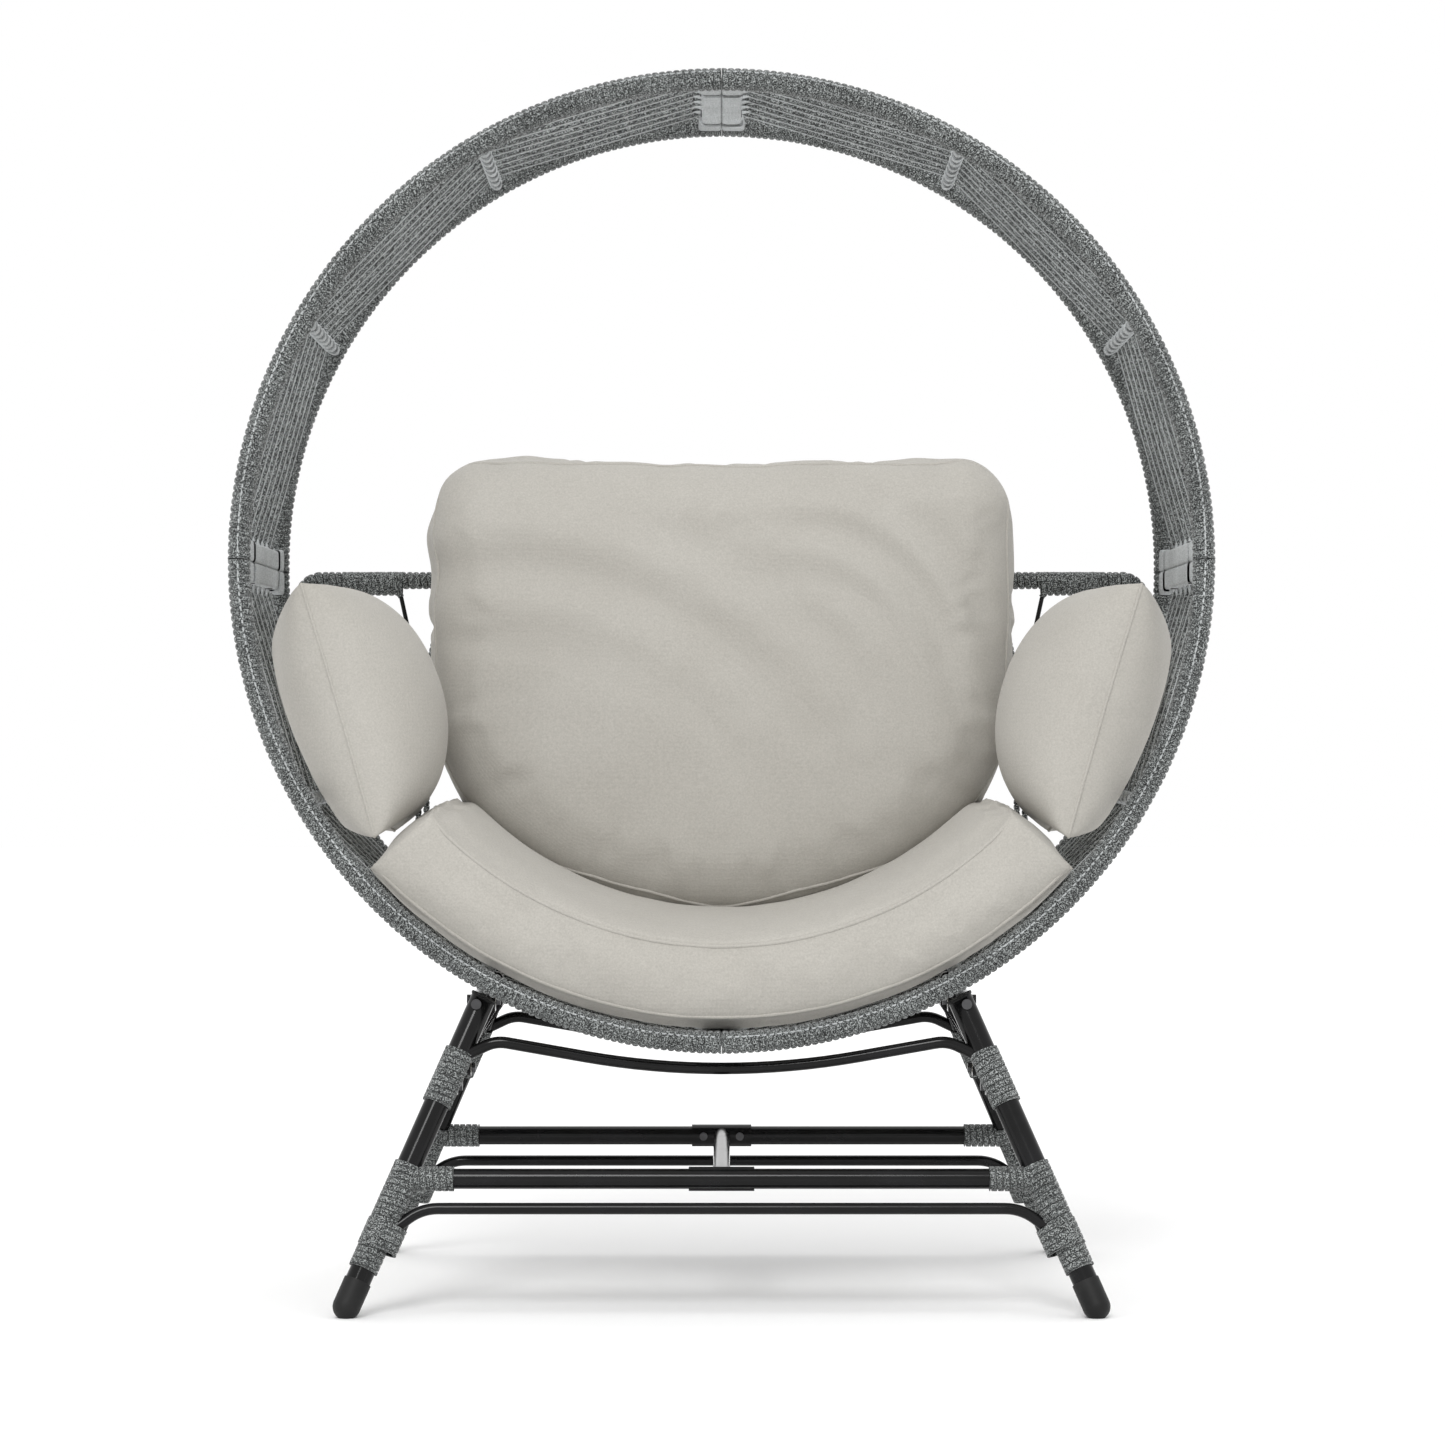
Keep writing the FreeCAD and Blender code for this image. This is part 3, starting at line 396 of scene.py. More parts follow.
class Guide:
    def __init__(self, points, first):
        self.points = np.array(points, float)
        self.normals, self.binormals = carried_frames(self.points, first)
        steps = np.linalg.norm(np.diff(self.points, axis=0), axis=1)
        self.marks = np.concatenate([[0.0], np.cumsum(steps)])
        self.length = self.marks[-1]

    def read(self, table, s):
        return np.stack([np.interp(s, self.marks, table[:, axis]) for axis in range(3)], axis=-1)

    def at(self, s):
        return self.read(self.points, s), unit(self.read(self.normals, s)), unit(self.read(self.binormals, s))


def rounded(points, bends, arc_steps=10):
    """A polyline with its corners rounded to the given radii."""
    points = [np.array(p, float) for p in points]
    line = [points[0]]
    for before, corner, after, bend in zip(points, points[1:], points[2:], bends):
        back = unit(before - corner)
        ahead = unit(after - corner)
        half = math.acos(np.clip(back.dot(ahead), -1, 1)) / 2
        middle = corner + unit(back + ahead) * (bend / math.sin(half))
        start = corner + back * (bend / math.tan(half))
        stop = corner + ahead * (bend / math.tan(half))
        for step in range(arc_steps + 1):
            chord = start + (stop - start) * (step / arc_steps)
            line.append(middle + unit(chord - middle) * bend)
    line.append(points[-1])
    return line


def dense(points, step):
    """The same line with no two points further apart than the step."""
    line = [np.array(points[0], float)]
    for before, after in zip(points, points[1:]):
        before = np.array(before, float)
        after = np.array(after, float)
        count = max(1, int(np.linalg.norm(after - before) / step))
        for number in range(1, count + 1):
            line.append(before + (after - before) * (number / count))
    return line


def straight(start, stop, first, step=GUIDE_STEP):
    return Guide(dense([start, stop], step), first)


# Mesh makers


def new_object(name, data):
    made = bpy.data.objects.new(name, data)
    bpy.context.scene.collection.objects.link(made)
    return made


class Mesh:
    def __init__(self):
        self.points = []
        self.faces = []
        self.count = 0

    def add(self, points, faces):
        self.points.append(np.asarray(points, float).reshape(-1, 3))
        self.faces.append(np.asarray(faces, int) + self.count)
        self.count += len(self.points[-1])

    def finish(self, name, body, slot, replaced=()):
        data = bpy.data.meshes.new(name)
        faces = [face for block in self.faces for face in block.tolist()]
        data.from_pydata(np.concatenate(self.points).tolist(), [], faces)
        data.polygons.foreach_set("use_smooth", [True] * len(data.polygons))
        data.update()
        return settle(new_object(name, data), body, slot, replaced)


def settle(made, body, slot, replaced=()):
    if not made.data.materials:
        made.data.materials.append(materials[slot])
    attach(made, body)
    if replaced:
        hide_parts(*replaced)
    return made


def rope_profile(width, power, samples, floor=-0.1):
    """Steps across one turn, in pitches, and the rope's height at each, in thicknesses."""
    inside = np.sin(np.linspace(-1, 1, samples) * math.pi / 2)
    heights = (1 - np.abs(inside) ** power) ** (1 / power)
    steps = np.concatenate([[-0.5], inside * width / 2])
    return steps, np.concatenate([[floor - 0.05], np.maximum(heights, floor)])


HOOP_ROPE = rope_profile(0.95, 2.6, 7, 0.35)
ROUND_ROPE = rope_profile(0.90, 2.4, 7)
FLAT_ROPE = rope_profile(0.98, 6.0, 6)
THIN_ROPE = rope_profile(0.92, 2.0, 5)


def section(turn, half, grow, power):
    """A point on a rounded rectangle round the guide; power 2 makes it a circle."""
    across = np.cos(turn)
    up = np.sin(turn)
    x = np.sign(across) * np.abs(across) ** (2 / power) * (half[0] + grow)
    y = np.sign(up) * np.abs(up) ** (2 / power) * (half[1] + grow)
    return x, y


def winding(
    mesh, guide, start, end, half, lift, pitch, profile, around, power=2.0, flare=None, loose=0.04, hand=1
):
    """Rope wound round a guide in one long helix. Rows follow the rope, so its edges stay crisp."""
    steps, heights = profile
    width = len(steps)
    turns = int(math.ceil((end - start) / pitch)) + 3
    shift = chance.uniform(-loose, loose, turns)
    swell = chance.uniform(-loose, loose, turns)
    row = np.arange(turns * width)
    turn = row // width
    column = np.arange(around)
    s = (turn + steps[row % width] + shift[turn] - 1.0)[:, None] * pitch + (column / around * pitch)[None, :]
    s = np.clip(start + s, start, end)
    grow = (heights[row % width] * lift * (1 + 2 * swell[turn]))[:, None] * np.ones(around)[None, :]
    angle = hand * 2 * math.pi * column / around
    x, y = section(np.broadcast_to(angle, s.shape), half, grow, power)
    if flare is not None:
        x = np.where(x > 0, x * flare(s), x)
    centre, normal, binormal = guide.at(s)
    points = centre + normal * x[..., None] + binormal * y[..., None]
    index = row[:-1, None] * around + column[None, :]
    beside = np.where(column[None, :] < around - 1, index + 1, index + 1 + (width - 1) * around)
    faces = np.stack([index, beside, beside + around, index + around], axis=-1).reshape(-1, 4)
    faces = faces[(faces < len(row) * around).all(axis=1)]
    mesh.add(points, faces)


def swept(mesh, points, radii, around=12, first=(0, 1, 0.01), closed=False, caps=True):
    """A round tube along a line; the radius may change along it."""
    points = np.array(points, float)
    radii = np.broadcast_to(np.asarray(radii, float), len(points))
    normals, binormals = carried_frames(points, first, closed)
    angle = (2 * math.pi * np.arange(around) / around)[None, :, None]
    ring = np.cos(angle) * normals[:, None, :] + np.sin(angle) * binormals[:, None, :]
    shell = points[:, None, :] + ring * radii[:, None, None]
    rows = len(points) if closed else len(points) - 1
    faces = []
    for row in range(rows):
        ahead = (row + 1) % len(points)
        twist = 0
        if closed and ahead == 0:
            twist = int(np.argmin(np.linalg.norm(shell[0] - shell[-1][0], axis=1)))
        for column in range(around):
            beside = (column + 1) % around
            faces.append(
                [
                    row * around + column,
                    row * around + beside,
                    ahead * around + (beside + twist) % around,
                    ahead * around + (column + twist) % around,
                ]
            )
    mesh.add(shell, faces)
    if caps and not closed:
        way = tangents(points)
        rim = [[c, (c + 1) % around, around + (c + 1) % around, around + c] for c in range(around)]
        for end, ahead in ((0, -1), (len(points) - 1, 1)):
            rise = way[end] * (ahead * CAP_RISE * radii[end])
            inner = points[end] + (shell[end] - points[end]) * CAP_SHRINK + rise
            mesh.add(np.concatenate([shell[end], inner]), rim)
            mesh.add(inner, [list(range(around))])


# Drum geometry


def sin(degrees):
    return math.sin(math.radians(degrees))


def cos(degrees):
    return math.cos(math.radians(degrees))


def hoop_up(ring, half):
    lean = FRONT_LEAN
    if ring == "rear":
        lean = -REAR_LEAN if half == "upper" else 0.0
    return np.array([0, sin(lean), cos(lean)])


def hoop_point(side, ring, half, angle):
    centre = np.array([0, ENDS[ring] * HALF_DEPTH, HOOP_HEIGHT])
    return centre + [side * HOOP_RADIUS * sin(angle), 0, 0] + hoop_up(ring, half) * (HOOP_RADIUS * cos(angle))


def between_hoops(side, half, angle, share):
    front = hoop_point(side, "front", half, angle)
    return front + (hoop_point(side, "rear", half, angle) - front) * share


def outward(side, angle):
    return np.array([side * sin(angle), 0, cos(angle)])


def along_hoop(side, angle):
    return np.array([side * cos(angle), 0, -sin(angle)])


def spacer_angles(half):
    return [HALVES[half] + SPACER_STEP, HALVES[half] + 90 - SPACER_STEP]


def joint_ends(half):
    return [(HALVES[half], 1), (HALVES[half] + 90, -1)]


def hoop_guide(side, ring, half):
    trim = math.degrees(ROPE_END_GAP / 2 / HOOP_RADIUS)
    angles = np.linspace(HALVES[half] + trim, HALVES[half] + 90 - trim, 91)
    return Guide([hoop_point(side, ring, half, a) for a in angles], (0, 1, 0))


def hoop_ropes():
    for ring in ENDS:
        mesh = Mesh()
        for side in SIDES.values():
            for half in HALVES:
                guide = hoop_guide(side, ring, half)
                winding(
                    mesh, guide, 0.0, guide.length, (HOOP_TUBE,) * 2, HOOP_LIFT, ROPE_PITCH, HOOP_ROPE,
                    around=24, loose=0.02, hand=side,
                )
        mesh.finish("%s_hoop_rope" % ring, "seat", "dark_rope", ("hoop_wraps",))


def hoop_glint_thread():
    """A light thread along the front hoop, on its upper side, that shows between the turns of the rope as a
    painted highlight: it stands in for the glints of light in the grooves between the turns.
    """
    mesh = Mesh()
    reach = HOOP_TUBE + HOOP_LIFT - GLINT_THREAD_RADIUS - GLINT_THREAD_SINK
    for side in SIDES.values():
        for half in HALVES:
            up = hoop_up("front", half)
            line = []
            begin = HALVES[half] + GLINT_THREAD_INSET
            stop = HALVES[half] + 90 - GLINT_THREAD_INSET
            for angle in np.linspace(begin, stop, GLINT_THREAD_STEPS):
                out = np.array([side * sin(angle), 0, 0]) + up * cos(angle)
                # The thread is moved towards the side of the hoop that faces up to the light, where the
                # painted glints show.
                share = GLINT_THREAD_MIDDLE + GLINT_THREAD_SWING * cos(angle)
                face = np.array([0, -math.sqrt(1 - share**2), 0]) + out * share
                line.append(hoop_point(side, "front", half, angle) + unit(face) * reach)
            swept(mesh, line, GLINT_THREAD_RADIUS, 6, (0, 1, 0.1), caps=False)
    return mesh.finish("hoop_glint_thread", "seat", "light_cord")


def cord_points(side, half, share):
    bend = SPACER_RADIUS + SPACER_LIFT + CORD_CLEARANCE + CORD_RADIUS
    lift = END_SPACER_HEIGHT / 2 + END_SPACER_LIFT + CORD_CLEARANCE + CORD_RADIUS
    ends = []
    for joint, inward in joint_ends(half):
        start = between_hoops(side, half, joint, share) + outward(side, joint) * lift
        tangent = along_hoop(side, joint) * inward
        edge = END_SPACER_GAP / 2 + END_SPACER_WIDTH + END_SPACER_LIFT + CORD_EDGE_EASE
        ends.append([start + tangent * (END_SPACER_GAP / 2 + END_SPACER_WIDTH / 2), start + tangent * edge])
    corners = []
    for angle in spacer_angles(half):
        out = outward(side, angle) * (bend / cos(SPACER_STEP / 2))
        corners.append(between_hoops(side, half, angle, share) + out)
    points = ends[0] + corners + ends[1][::-1]
    return rounded(points, [CORD_EDGE_BEND, bend, bend, CORD_EDGE_BEND], 5)


CORD_SHARES = [(number + 1) / (CORD_COUNT + 1) for number in range(CORD_COUNT)]


def lacing():
    """The cords from joint to joint over the outside of the spacers, each with a light thread along it: partly
    real twine and partly a painted highlight along the cord's lit edge.
    """
    threads = Mesh()
    for half in HALVES:
        for side_name, side in SIDES.items():
            mesh = Mesh()
            for share in CORD_SHARES:
                line = dense(cord_points(side, half, share), CORD_STEP)
                swept(mesh, line, CORD_RADIUS, 12)
                # a light thread beside the cord, partly real twine and partly a painted highlight on the
                # cord's lit edge
                beside = []
                for point in line:
                    inward = unit(np.array([-point[0], 0.0, HOOP_HEIGHT - point[2]]))
                    reach = CORD_RADIUS * EDGE_THREAD_REACH
                    beside.append(point + (inward + (0, EDGE_THREAD_BACK, 0)) * reach)
                swept(threads, beside, EDGE_THREAD, 5)
            replaced = "%s_%s_lacing" % (half, side_name)
            mesh.finish("%s_%s_cords" % (half, side_name), "seat", "dark_rope", (replaced,))
    threads.finish("cord_edge_threads_and_highlights", "seat", "light_cord")


def spacer_twine():
    """Light twine between the cords' crossings, a bare stretch under each cord wound with low dark turns as
    painted shade, and a tie over it.
    """
    mesh = Mesh()
    turns = Mesh()
    size = (SPACER_RADIUS,) * 2
    inset = HOOP_TUBE + HOOP_LIFT - TWINE_TUCK
    for side in SIDES.values():
        for half in HALVES:
            for angle in spacer_angles(half):
                front = between_hoops(side, half, angle, 0)
                rear = between_hoops(side, half, angle, 1)
                guide = straight(front, rear, outward(side, angle), SPACER_GUIDE_STEP)
                marks = [inset] + [share * guide.length for share in CORD_SHARES] + [guide.length - inset]
                for number, (start, end) in enumerate(zip(marks, marks[1:])):
                    low = start + (BARE_STRETCH / 2 if number > 0 else 0.0)
                    high = end - (BARE_STRETCH / 2 if number < len(CORD_SHARES) else 0.0)
                    winding(
                        mesh, guide, low, high, size, SPACER_LIFT, TWINE_PITCH, THIN_ROPE, around=12,
                        loose=0.08,
                    )
                for share in CORD_SHARES:
                    tie(mesh, side, half, angle, share)
                    # dark turns sunk low on the bare stretch: painted shade, for the dark crescent under each
                    # tie
                    low = share * guide.length - BARE_STRETCH / 2
                    high = low + BARE_STRETCH
                    winding(
                        turns, guide, low, high, size, SHADE_TURN_LIFT, SHADE_TURN_PITCH, THIN_ROPE, around=12,
                        loose=0.0,
                    )
    turns.finish("spacer_shade_turns", "seat", "dark_rope")
    return mesh.finish("spacer_twine", "seat", "light_cord", ("spacer_wraps",))


def tie(mesh, side, half, angle, share):
    """Twine slantwise over the outer side of a cord, from one flank of the spacer to the other."""
    centre = between_hoops(side, half, angle, share)
    axis = unit(between_hoops(side, half, angle, 1) - between_hoops(side, half, angle, 0))
    out = outward(side, angle)
    across = np.cross(axis, out)
    reach = SPACER_RADIUS + SPACER_LIFT + CORD_CLEARANCE
    top = reach + 2 * CORD_RADIUS + TIE_RADIUS * TIE_SINK
    for slant in (1, -1):
        slope = across * reach + axis * (slant * CORD_RADIUS * TIE_SLANT)
        line = []
        for step in range(TIE_STEPS + 1):
            turn = math.pi * (step / TIE_STEPS * TIE_TURN + TIE_START)
            line.append(centre + slope * math.cos(turn) + out * (top * math.sin(turn)))
        swept(mesh, line, TIE_RADIUS, 6, tuple(axis))


def barb(mesh, path, edge, out):
    """A tapering barb of twine from the flank of the end spacer out to the cord that leaves it."""
    cord = Guide(path, out)
    line = [cord.at(np.array([edge + ahead]))[0][0] - out * down for ahead, down in BARB_LINE]
    line = dense(rounded(line, BARB_BENDS, 4), BARB_STEP)
    share = np.linspace(0, 1, len(line))
    swept(mesh, line, BARB_RADIUS * (1 - share**2 * BARB_TAPER), 8, tuple(out))


def widening(at):
    """The binding's width as a factor along the end spacer: widest at the hoop."""
    return lambda s: 1 + JOINT_WIDENING * np.clip(1 - np.abs(s - at) / JOINT_WIDENING_REACH, 0, 1)


def joint_twine():
    """Light twine round the end spacers in three lengths, wider at the hoops, with barbs at some cords. The
    gaps between the lengths hold low dark turns: a real groove, darkened with painted shade.
    """
    mesh = Mesh()
    grooves = Mesh()
    size = (END_SPACER_WIDTH / 2 + END_SPACER_EASE, END_SPACER_HEIGHT / 2)
    inset = HOOP_TUBE + HOOP_LIFT - JOINT_TUCK
    edge = END_SPACER_WIDTH / 2 + END_SPACER_LIFT
    for side in SIDES.values():
        for half in HALVES:
            for joint, inward in joint_ends(half):
                tangent = along_hoop(side, joint) * inward
                offset = tangent * (END_SPACER_GAP / 2 + END_SPACER_WIDTH / 2)
                front = between_hoops(side, half, joint, 0) + offset
                rear = between_hoops(side, half, joint, 1) + offset
                guide = straight(front, rear, tangent, SPACER_GUIDE_STEP)
                first, last = (share * guide.length for share in GROOVE_SHARES)
                far = guide.length - inset
                # low dark turns in the gaps between the lengths: partly real groove, partly painted shade
                for middle in (first, last):
                    winding(
                        grooves, guide, middle - GROOVE, middle + GROOVE, size, GROOVE_LIFT, GROOVE_PITCH,
                        THIN_ROPE, around=28, power=6.0, loose=0.0,
                    )
                for start, end, flare in (
                    (inset, first - GROOVE, widening(inset)),
                    (first + GROOVE, last - GROOVE, None),
                    (last + GROOVE, far, widening(far)),
                ):
                    winding(
                        mesh, guide, start, end, size, END_SPACER_LIFT, TWINE_PITCH, THIN_ROPE, around=28,
                        power=6.0, loose=0.05, flare=flare,
                    )
        for half in HALVES:
            for share in CORD_SHARES[BARBED_CORDS]:
                line = dense(cord_points(side, half, share), BARB_CORD_STEP)
                for path, (joint, _) in zip((line, line[::-1]), joint_ends(half)):
                    barb(mesh, path[:BARB_CORD_POINTS], edge, outward(side, joint))
    grooves.finish("joint_grooves_and_shade", "seat", "dark_rope")
    return mesh.finish("joint_twine", "seat", "light_cord", ("joint_wraps",))


# Back rest


def hoop_drop(x):
    return HOOP_HEIGHT - math.sqrt(HOOP_RADIUS**2 - x**2)


def bar_points():
    x = BAR_HALF_SPAN
    low = hoop_drop(x)
    y = HALF_DEPTH
    corners = [(-x, y, low), (-x, y, BAR_HEIGHT), (x, y, BAR_HEIGHT), (x, y, low)]
    return rounded(corners, [BAR_BEND, BAR_BEND])


def arch_middle(number):
    return (number - (ARCH_COUNT - 1) / 2) * ARCH_PITCH


def arch_points(number):
    top = BAR_HEIGHT - BAR_RADIUS - 0.0001 - ARCH_RADIUS
    middle = arch_middle(number)
    left = middle - ARCH_HALF_WIDTH
    right = middle + ARCH_HALF_WIDTH
    y = HALF_DEPTH
    corners = [
        (left, y, hoop_drop(left)),
        (left, y, top - ARCH_DROP),
        (middle - ARCH_HALF_TOP, y, top),
        (middle + ARCH_HALF_TOP, y, top),
        (right, y, top - ARCH_DROP),
        (right, y, hoop_drop(right)),
    ]
    return rounded(corners, [ARCH_FOOT_BEND, ARCH_BEND, ARCH_BEND, ARCH_FOOT_BEND])


def backrest_rope():
    """Rope round the back bar, round each arch's two sides, and round bar and arch where they meet."""
    mesh = Mesh()
    clear = HOOP_TUBE + HOOP_LIFT
    bar = Guide(dense(bar_points(), GUIDE_STEP), (0, 1, 0))
    turned = BAR_HEIGHT - hoop_drop(BAR_HALF_SPAN)
    marks = [clear, turned, bar.length - turned, bar.length - clear]
    for start, end in zip(marks, marks[1:]):
        winding(mesh, bar, start, end, (BAR_RADIUS,) * 2, BAR_LIFT, ROPE_PITCH, ROUND_ROPE, around=20)
    size = (ARCH_RADIUS,) * 2
    rod_top = ARCH_RADIUS + ARCH_LIFT
    both = (BAR_RADIUS + rod_top, BAR_RADIUS + LASHING_LIFT)
    touch = ARCH_HALF_TOP + ARCH_TOUCH
    for number in range(ARCH_COUNT):
        guide = Guide(dense(arch_points(number), GUIDE_STEP), (0, 1, 0))
        half = guide.length / 2
        for start, end in ((clear, half - touch), (half + touch, guide.length - clear)):
            winding(mesh, guide, start, end, size, ARCH_LIFT, ARCH_ROPE_PITCH, ROUND_ROPE, around=10)
        left, right = arch_middle(number) - touch, arch_middle(number) + touch
        height = BAR_HEIGHT - rod_top
        lashing = straight((left, HALF_DEPTH, height), (right, HALF_DEPTH, height), (0, 0, 1))
        winding(
            mesh, lashing, 0.0, lashing.length, both, BAR_LIFT, ROPE_PITCH, ROUND_ROPE, around=20, power=2.4
        )
    return mesh.finish("backrest_rope", "seat", "dark_rope", ("backrest_wraps",))


# Base


def leg_point(side, end, height):
    return np.array([side * (FOOT[0] - LEG_LEAN[0] * height), end * (FOOT[1] - LEG_LEAN[1] * height), height])


def leg_ropes():
    """Flat rope round each leg's top, its lower part, the crossbar's end and the lower rod's end."""
    upper = Mesh()
    lower = Mesh()
    rope = {"lift": LEG_LIFT, "pitch": LEG_ROPE_PITCH, "profile": FLAT_ROPE}
    for side in SIDES.values():
        for end in ENDS.values():
            for mesh, (low, high) in ((upper, UPPER_WRAP), (lower, LOWER_WRAP)):
                guide = straight(leg_point(side, end, low), leg_point(side, end, high), (1, 0, 0))
                winding(mesh, guide, 0.0, guide.length, (LEG_RADIUS,) * 2, around=24, loose=0.01, **rope)
            start = leg_point(side, end, CROSSBAR_HEIGHT)
            guide = straight((side * CROSSBAR_WRAP_END, start[1], CROSSBAR_HEIGHT), start, (0, 1, 0))
            stop = guide.length - CROSSBAR_WRAP_TUCK
            winding(lower, guide, 0.0, stop, (CROSSBAR_RADIUS,) * 2, around=20, loose=0.01, **rope)
            shift = np.array([side * ROD_LASHING_SHIFT, 0, 0])
            low, high = (leg_point(side, end, height) - shift for height in ROD_LASHING)
            guide = straight(low, high, (1, 0, 0))
            winding(lower, guide, 0.0, guide.length, ROD_LASHING_HALF, around=24, loose=0.02, **rope)
    upper.finish("upper_leg_rope", "base", "dark_rope", ("upper_leg_wraps",))
    lower.finish("lower_leg_rope", "base", "dark_rope", ("lower_leg_wraps",))


# Cushions


def evaluated_mesh(thing):
    depsgraph = bpy.context.evaluated_depsgraph_get()
    depsgraph.update()
    return bpy.data.meshes.new_from_object(thing.evaluated_get(depsgraph))


def apply_modifiers(thing):
    data = evaluated_mesh(thing)
    thing.modifiers.clear()
    thing.data = data


def positions(data):
    values = np.empty(len(data.vertices) * 3)
    data.vertices.foreach_get("co", values)
    return values.reshape(-1, 3)


def normals_of(data):
    values = np.empty(len(data.vertices) * 3)
    data.vertices.foreach_get("normal", values)
    return values.reshape(-1, 3)


def set_positions(data, values):
    data.vertices.foreach_set("co", np.asarray(values, float).ravel())
    data.update()


def stuffed(node_name, name, voxel, shrink, pressure, cap, softening):
    """The cushion's closed CAD solid, remeshed, softened, shrunk a little and blown up as cloth."""
    made = new_object(name, nodes[node_name].data.copy())
    made.data.materials.clear()
    remesh = made.modifiers.new("remesh", "REMESH")
    remesh.mode = "VOXEL"
    remesh.voxel_size = voxel
    soften = made.modifiers.new("soften", "SMOOTH")
    soften.factor = 0.5
    soften.iterations = softening
    apply_modifiers(made)
    set_positions(made.data, positions(made.data) - normals_of(made.data) * shrink)
    blow_up(made, pressure, cap)
    return made


def blow_up(made, pressure, cap):
    """The piece swollen as cloth, with no point further from its start than the cap."""
    start = positions(made.data)
    inflate(made, pressure)
    moved = positions(made.data) - start
    length = np.linalg.norm(moved, axis=1, keepdims=True)
    set_positions(made.data, start + moved * np.minimum(1.0, cap / np.maximum(length, 1e-9)))


def inflate(made, pressure):
    scene = bpy.context.scene
    cloth = made.modifiers.new("cloth", "CLOTH")
    settings = cloth.settings
    settings.quality = 4
    settings.mass = 0.4
    settings.tension_stiffness = 12
    settings.compression_stiffness = 12
    settings.shear_stiffness = 6
    settings.bending_stiffness = 0.6
    settings.use_pressure = True
    settings.uniform_pressure_force = pressure
    settings.effector_weights.gravity = 0.0
    for number in range(1, CLOTH_FRAMES + 1):
        scene.frame_set(number)
    apply_modifiers(made)
    scene.frame_set(1)


def finish_cushion(made, node_name, ripple):
    """One subdivision, a slight unevenness of two grains, and the body, slot and node of the piece."""
    refine = made.modifiers.new("refine", "SUBSURF")
    refine.levels = 1
    refine.render_levels = 1
    apply_modifiers(made)
    data = made.data
    points = positions(data)
    directions = normals_of(data)
    lift = np.array([noise.noise(Vector(p) * 14.0) + 0.5 * noise.noise(Vector(p) * 31.0) for p in points])
    set_positions(data, points + directions * (lift * ripple)[:, None])
    data.polygons.foreach_set("use_smooth", [True] * len(data.polygons))
    data.materials.clear()
    settle(made, "seat", "cushion_fabric", (node_name,))


def skin_of(made):
    data = made.data
    return BVHTree.FromPolygons([v.co for v in data.vertices], [p.vertices for p in data.polygons])


def on_skin(skin, points, sink):
    """The points moved to the cushion's surface, a little below it, and evened out."""
    found = []
    for point in points:
        spot, normal, _, _ = skin.find_nearest(Vector(point))
        found.append(np.array(spot) - np.array(normal) * sink)
    line = np.array(found)
    for _ in range(3):
        line = (line * 2 + np.roll(line, 1, axis=0) + np.roll(line, -1, axis=0)) / 4
    return line


def piping(name, made, loops, radius):
    """Thin cord along a cushion's seams, a little more than half sunk in the cloth."""
    skin = skin_of(made)
    mesh = Mesh()
    for loop in loops:
        line = on_skin(skin, dense(list(loop) + [loop[0]], PIPING_STEP)[:-1], radius * PIPING_SINK)
        swept(mesh, line, radius, 8, (0.1, 1, 0.2), closed=True)
    return mesh.finish(name, "seat", "cushion_fabric")


def arc_loop(radius, front, back, half_angle, corner):
    """A loop on a cylinder round the drum's axis: along the front, up the end, back along the rear."""
    bend = math.degrees(corner / radius)
    cut = bend * CORNER_CUT
    near = corner * CORNER_CUT
    flat = [(-half_angle + bend, front)]
    flat += [(half_angle - bend, front), (half_angle - cut, front + near), (half_angle, front + corner)]
    flat += [(half_angle, back - corner), (half_angle - cut, back - near), (half_angle - bend, back)]
    flat += [(-half_angle + bend, back), (-half_angle + cut, back - near), (-half_angle, back - corner)]
    flat += [(-half_angle, front + corner), (-half_angle + cut, front + near)]
    loop = []
    for (angle, y), (next_angle, next_y) in zip(flat, flat[1:] + flat[:1]):
        count = max(1, int(abs(next_angle - angle) / 1.5), int(abs(next_y - y) / 0.012))
        for step in range(count):
            a = angle + (next_angle - angle) * step / count
            loop.append((radius * sin(a), y + (next_y - y) * step / count, HOOP_HEIGHT - radius * cos(a)))
    return loop


def back_seams():
    """The seams round the back cushion's front and rear edges, drawn down to its foot in the middle."""
    low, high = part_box("back_cushion")
    left = low[0] + BACK_SEAM_INSET
    right = high[0] - BACK_SEAM_INSET
    top = high[2] - BACK_SEAM_INSET
    bottom = low[2] + BACK_SEAM_LOW
    seams = []
    for y in (low[1] + BACK_SEAM_DEPTH, high[1] - BACK_SEAM_DEPTH):
        foot = ((low[0] + high[0]) / 2, y, low[2] + BACK_SEAM_FOOT)
        corners = [foot, (left, y, bottom), (left, y, top), (right, y, top), (right, y, bottom), foot]
        seams.append(rounded(corners, [BACK_SEAM_BEND] * 4)[:-1])
    return seams


def cushions():
    outer = HOOP_RADIUS - HOOP_TUBE - HOOP_LIFT - CUSHION_CLEARANCE
    inner = outer - SEAT_THICKNESS
    seat = stuffed("seat_cushion", "seat_pad", voxel=0.007, shrink=0.002, pressure=4.0, cap=0.007, softening=3)
    finish_cushion(seat, "seat_cushion", ripple=0.0010)
    radii = (inner + SEAT_SEAM_INSET, outer - SEAT_SEAM_INSET)
    seams = [arc_loop(radius, SEAT_FRONT, SEAT_BACK, SEAT_HALF_ANGLE, SEAT_CORNER) for radius in radii]
    piping("seat_piping", seat, seams, PIPING)

    back = stuffed("back_cushion", "back_pad", voxel=0.007, shrink=0.002, pressure=4.0, cap=0.008, softening=2)
    press_down(back, inner)
    fold_back(back)
    finish_cushion(back, "back_cushion", ripple=0.0010)
    piping("back_piping", back, back_seams(), PIPING)

    for side_name, side in SIDES.items():
        pillow, rim = sewn_pillow("%s_pad" % side_name, side)
        finish_cushion(pillow, "%s_pillow" % side_name, ripple=0.0006)
        piping("%s_pillow_piping" % side_name, pillow, [rim], PILLOW_PIPING)


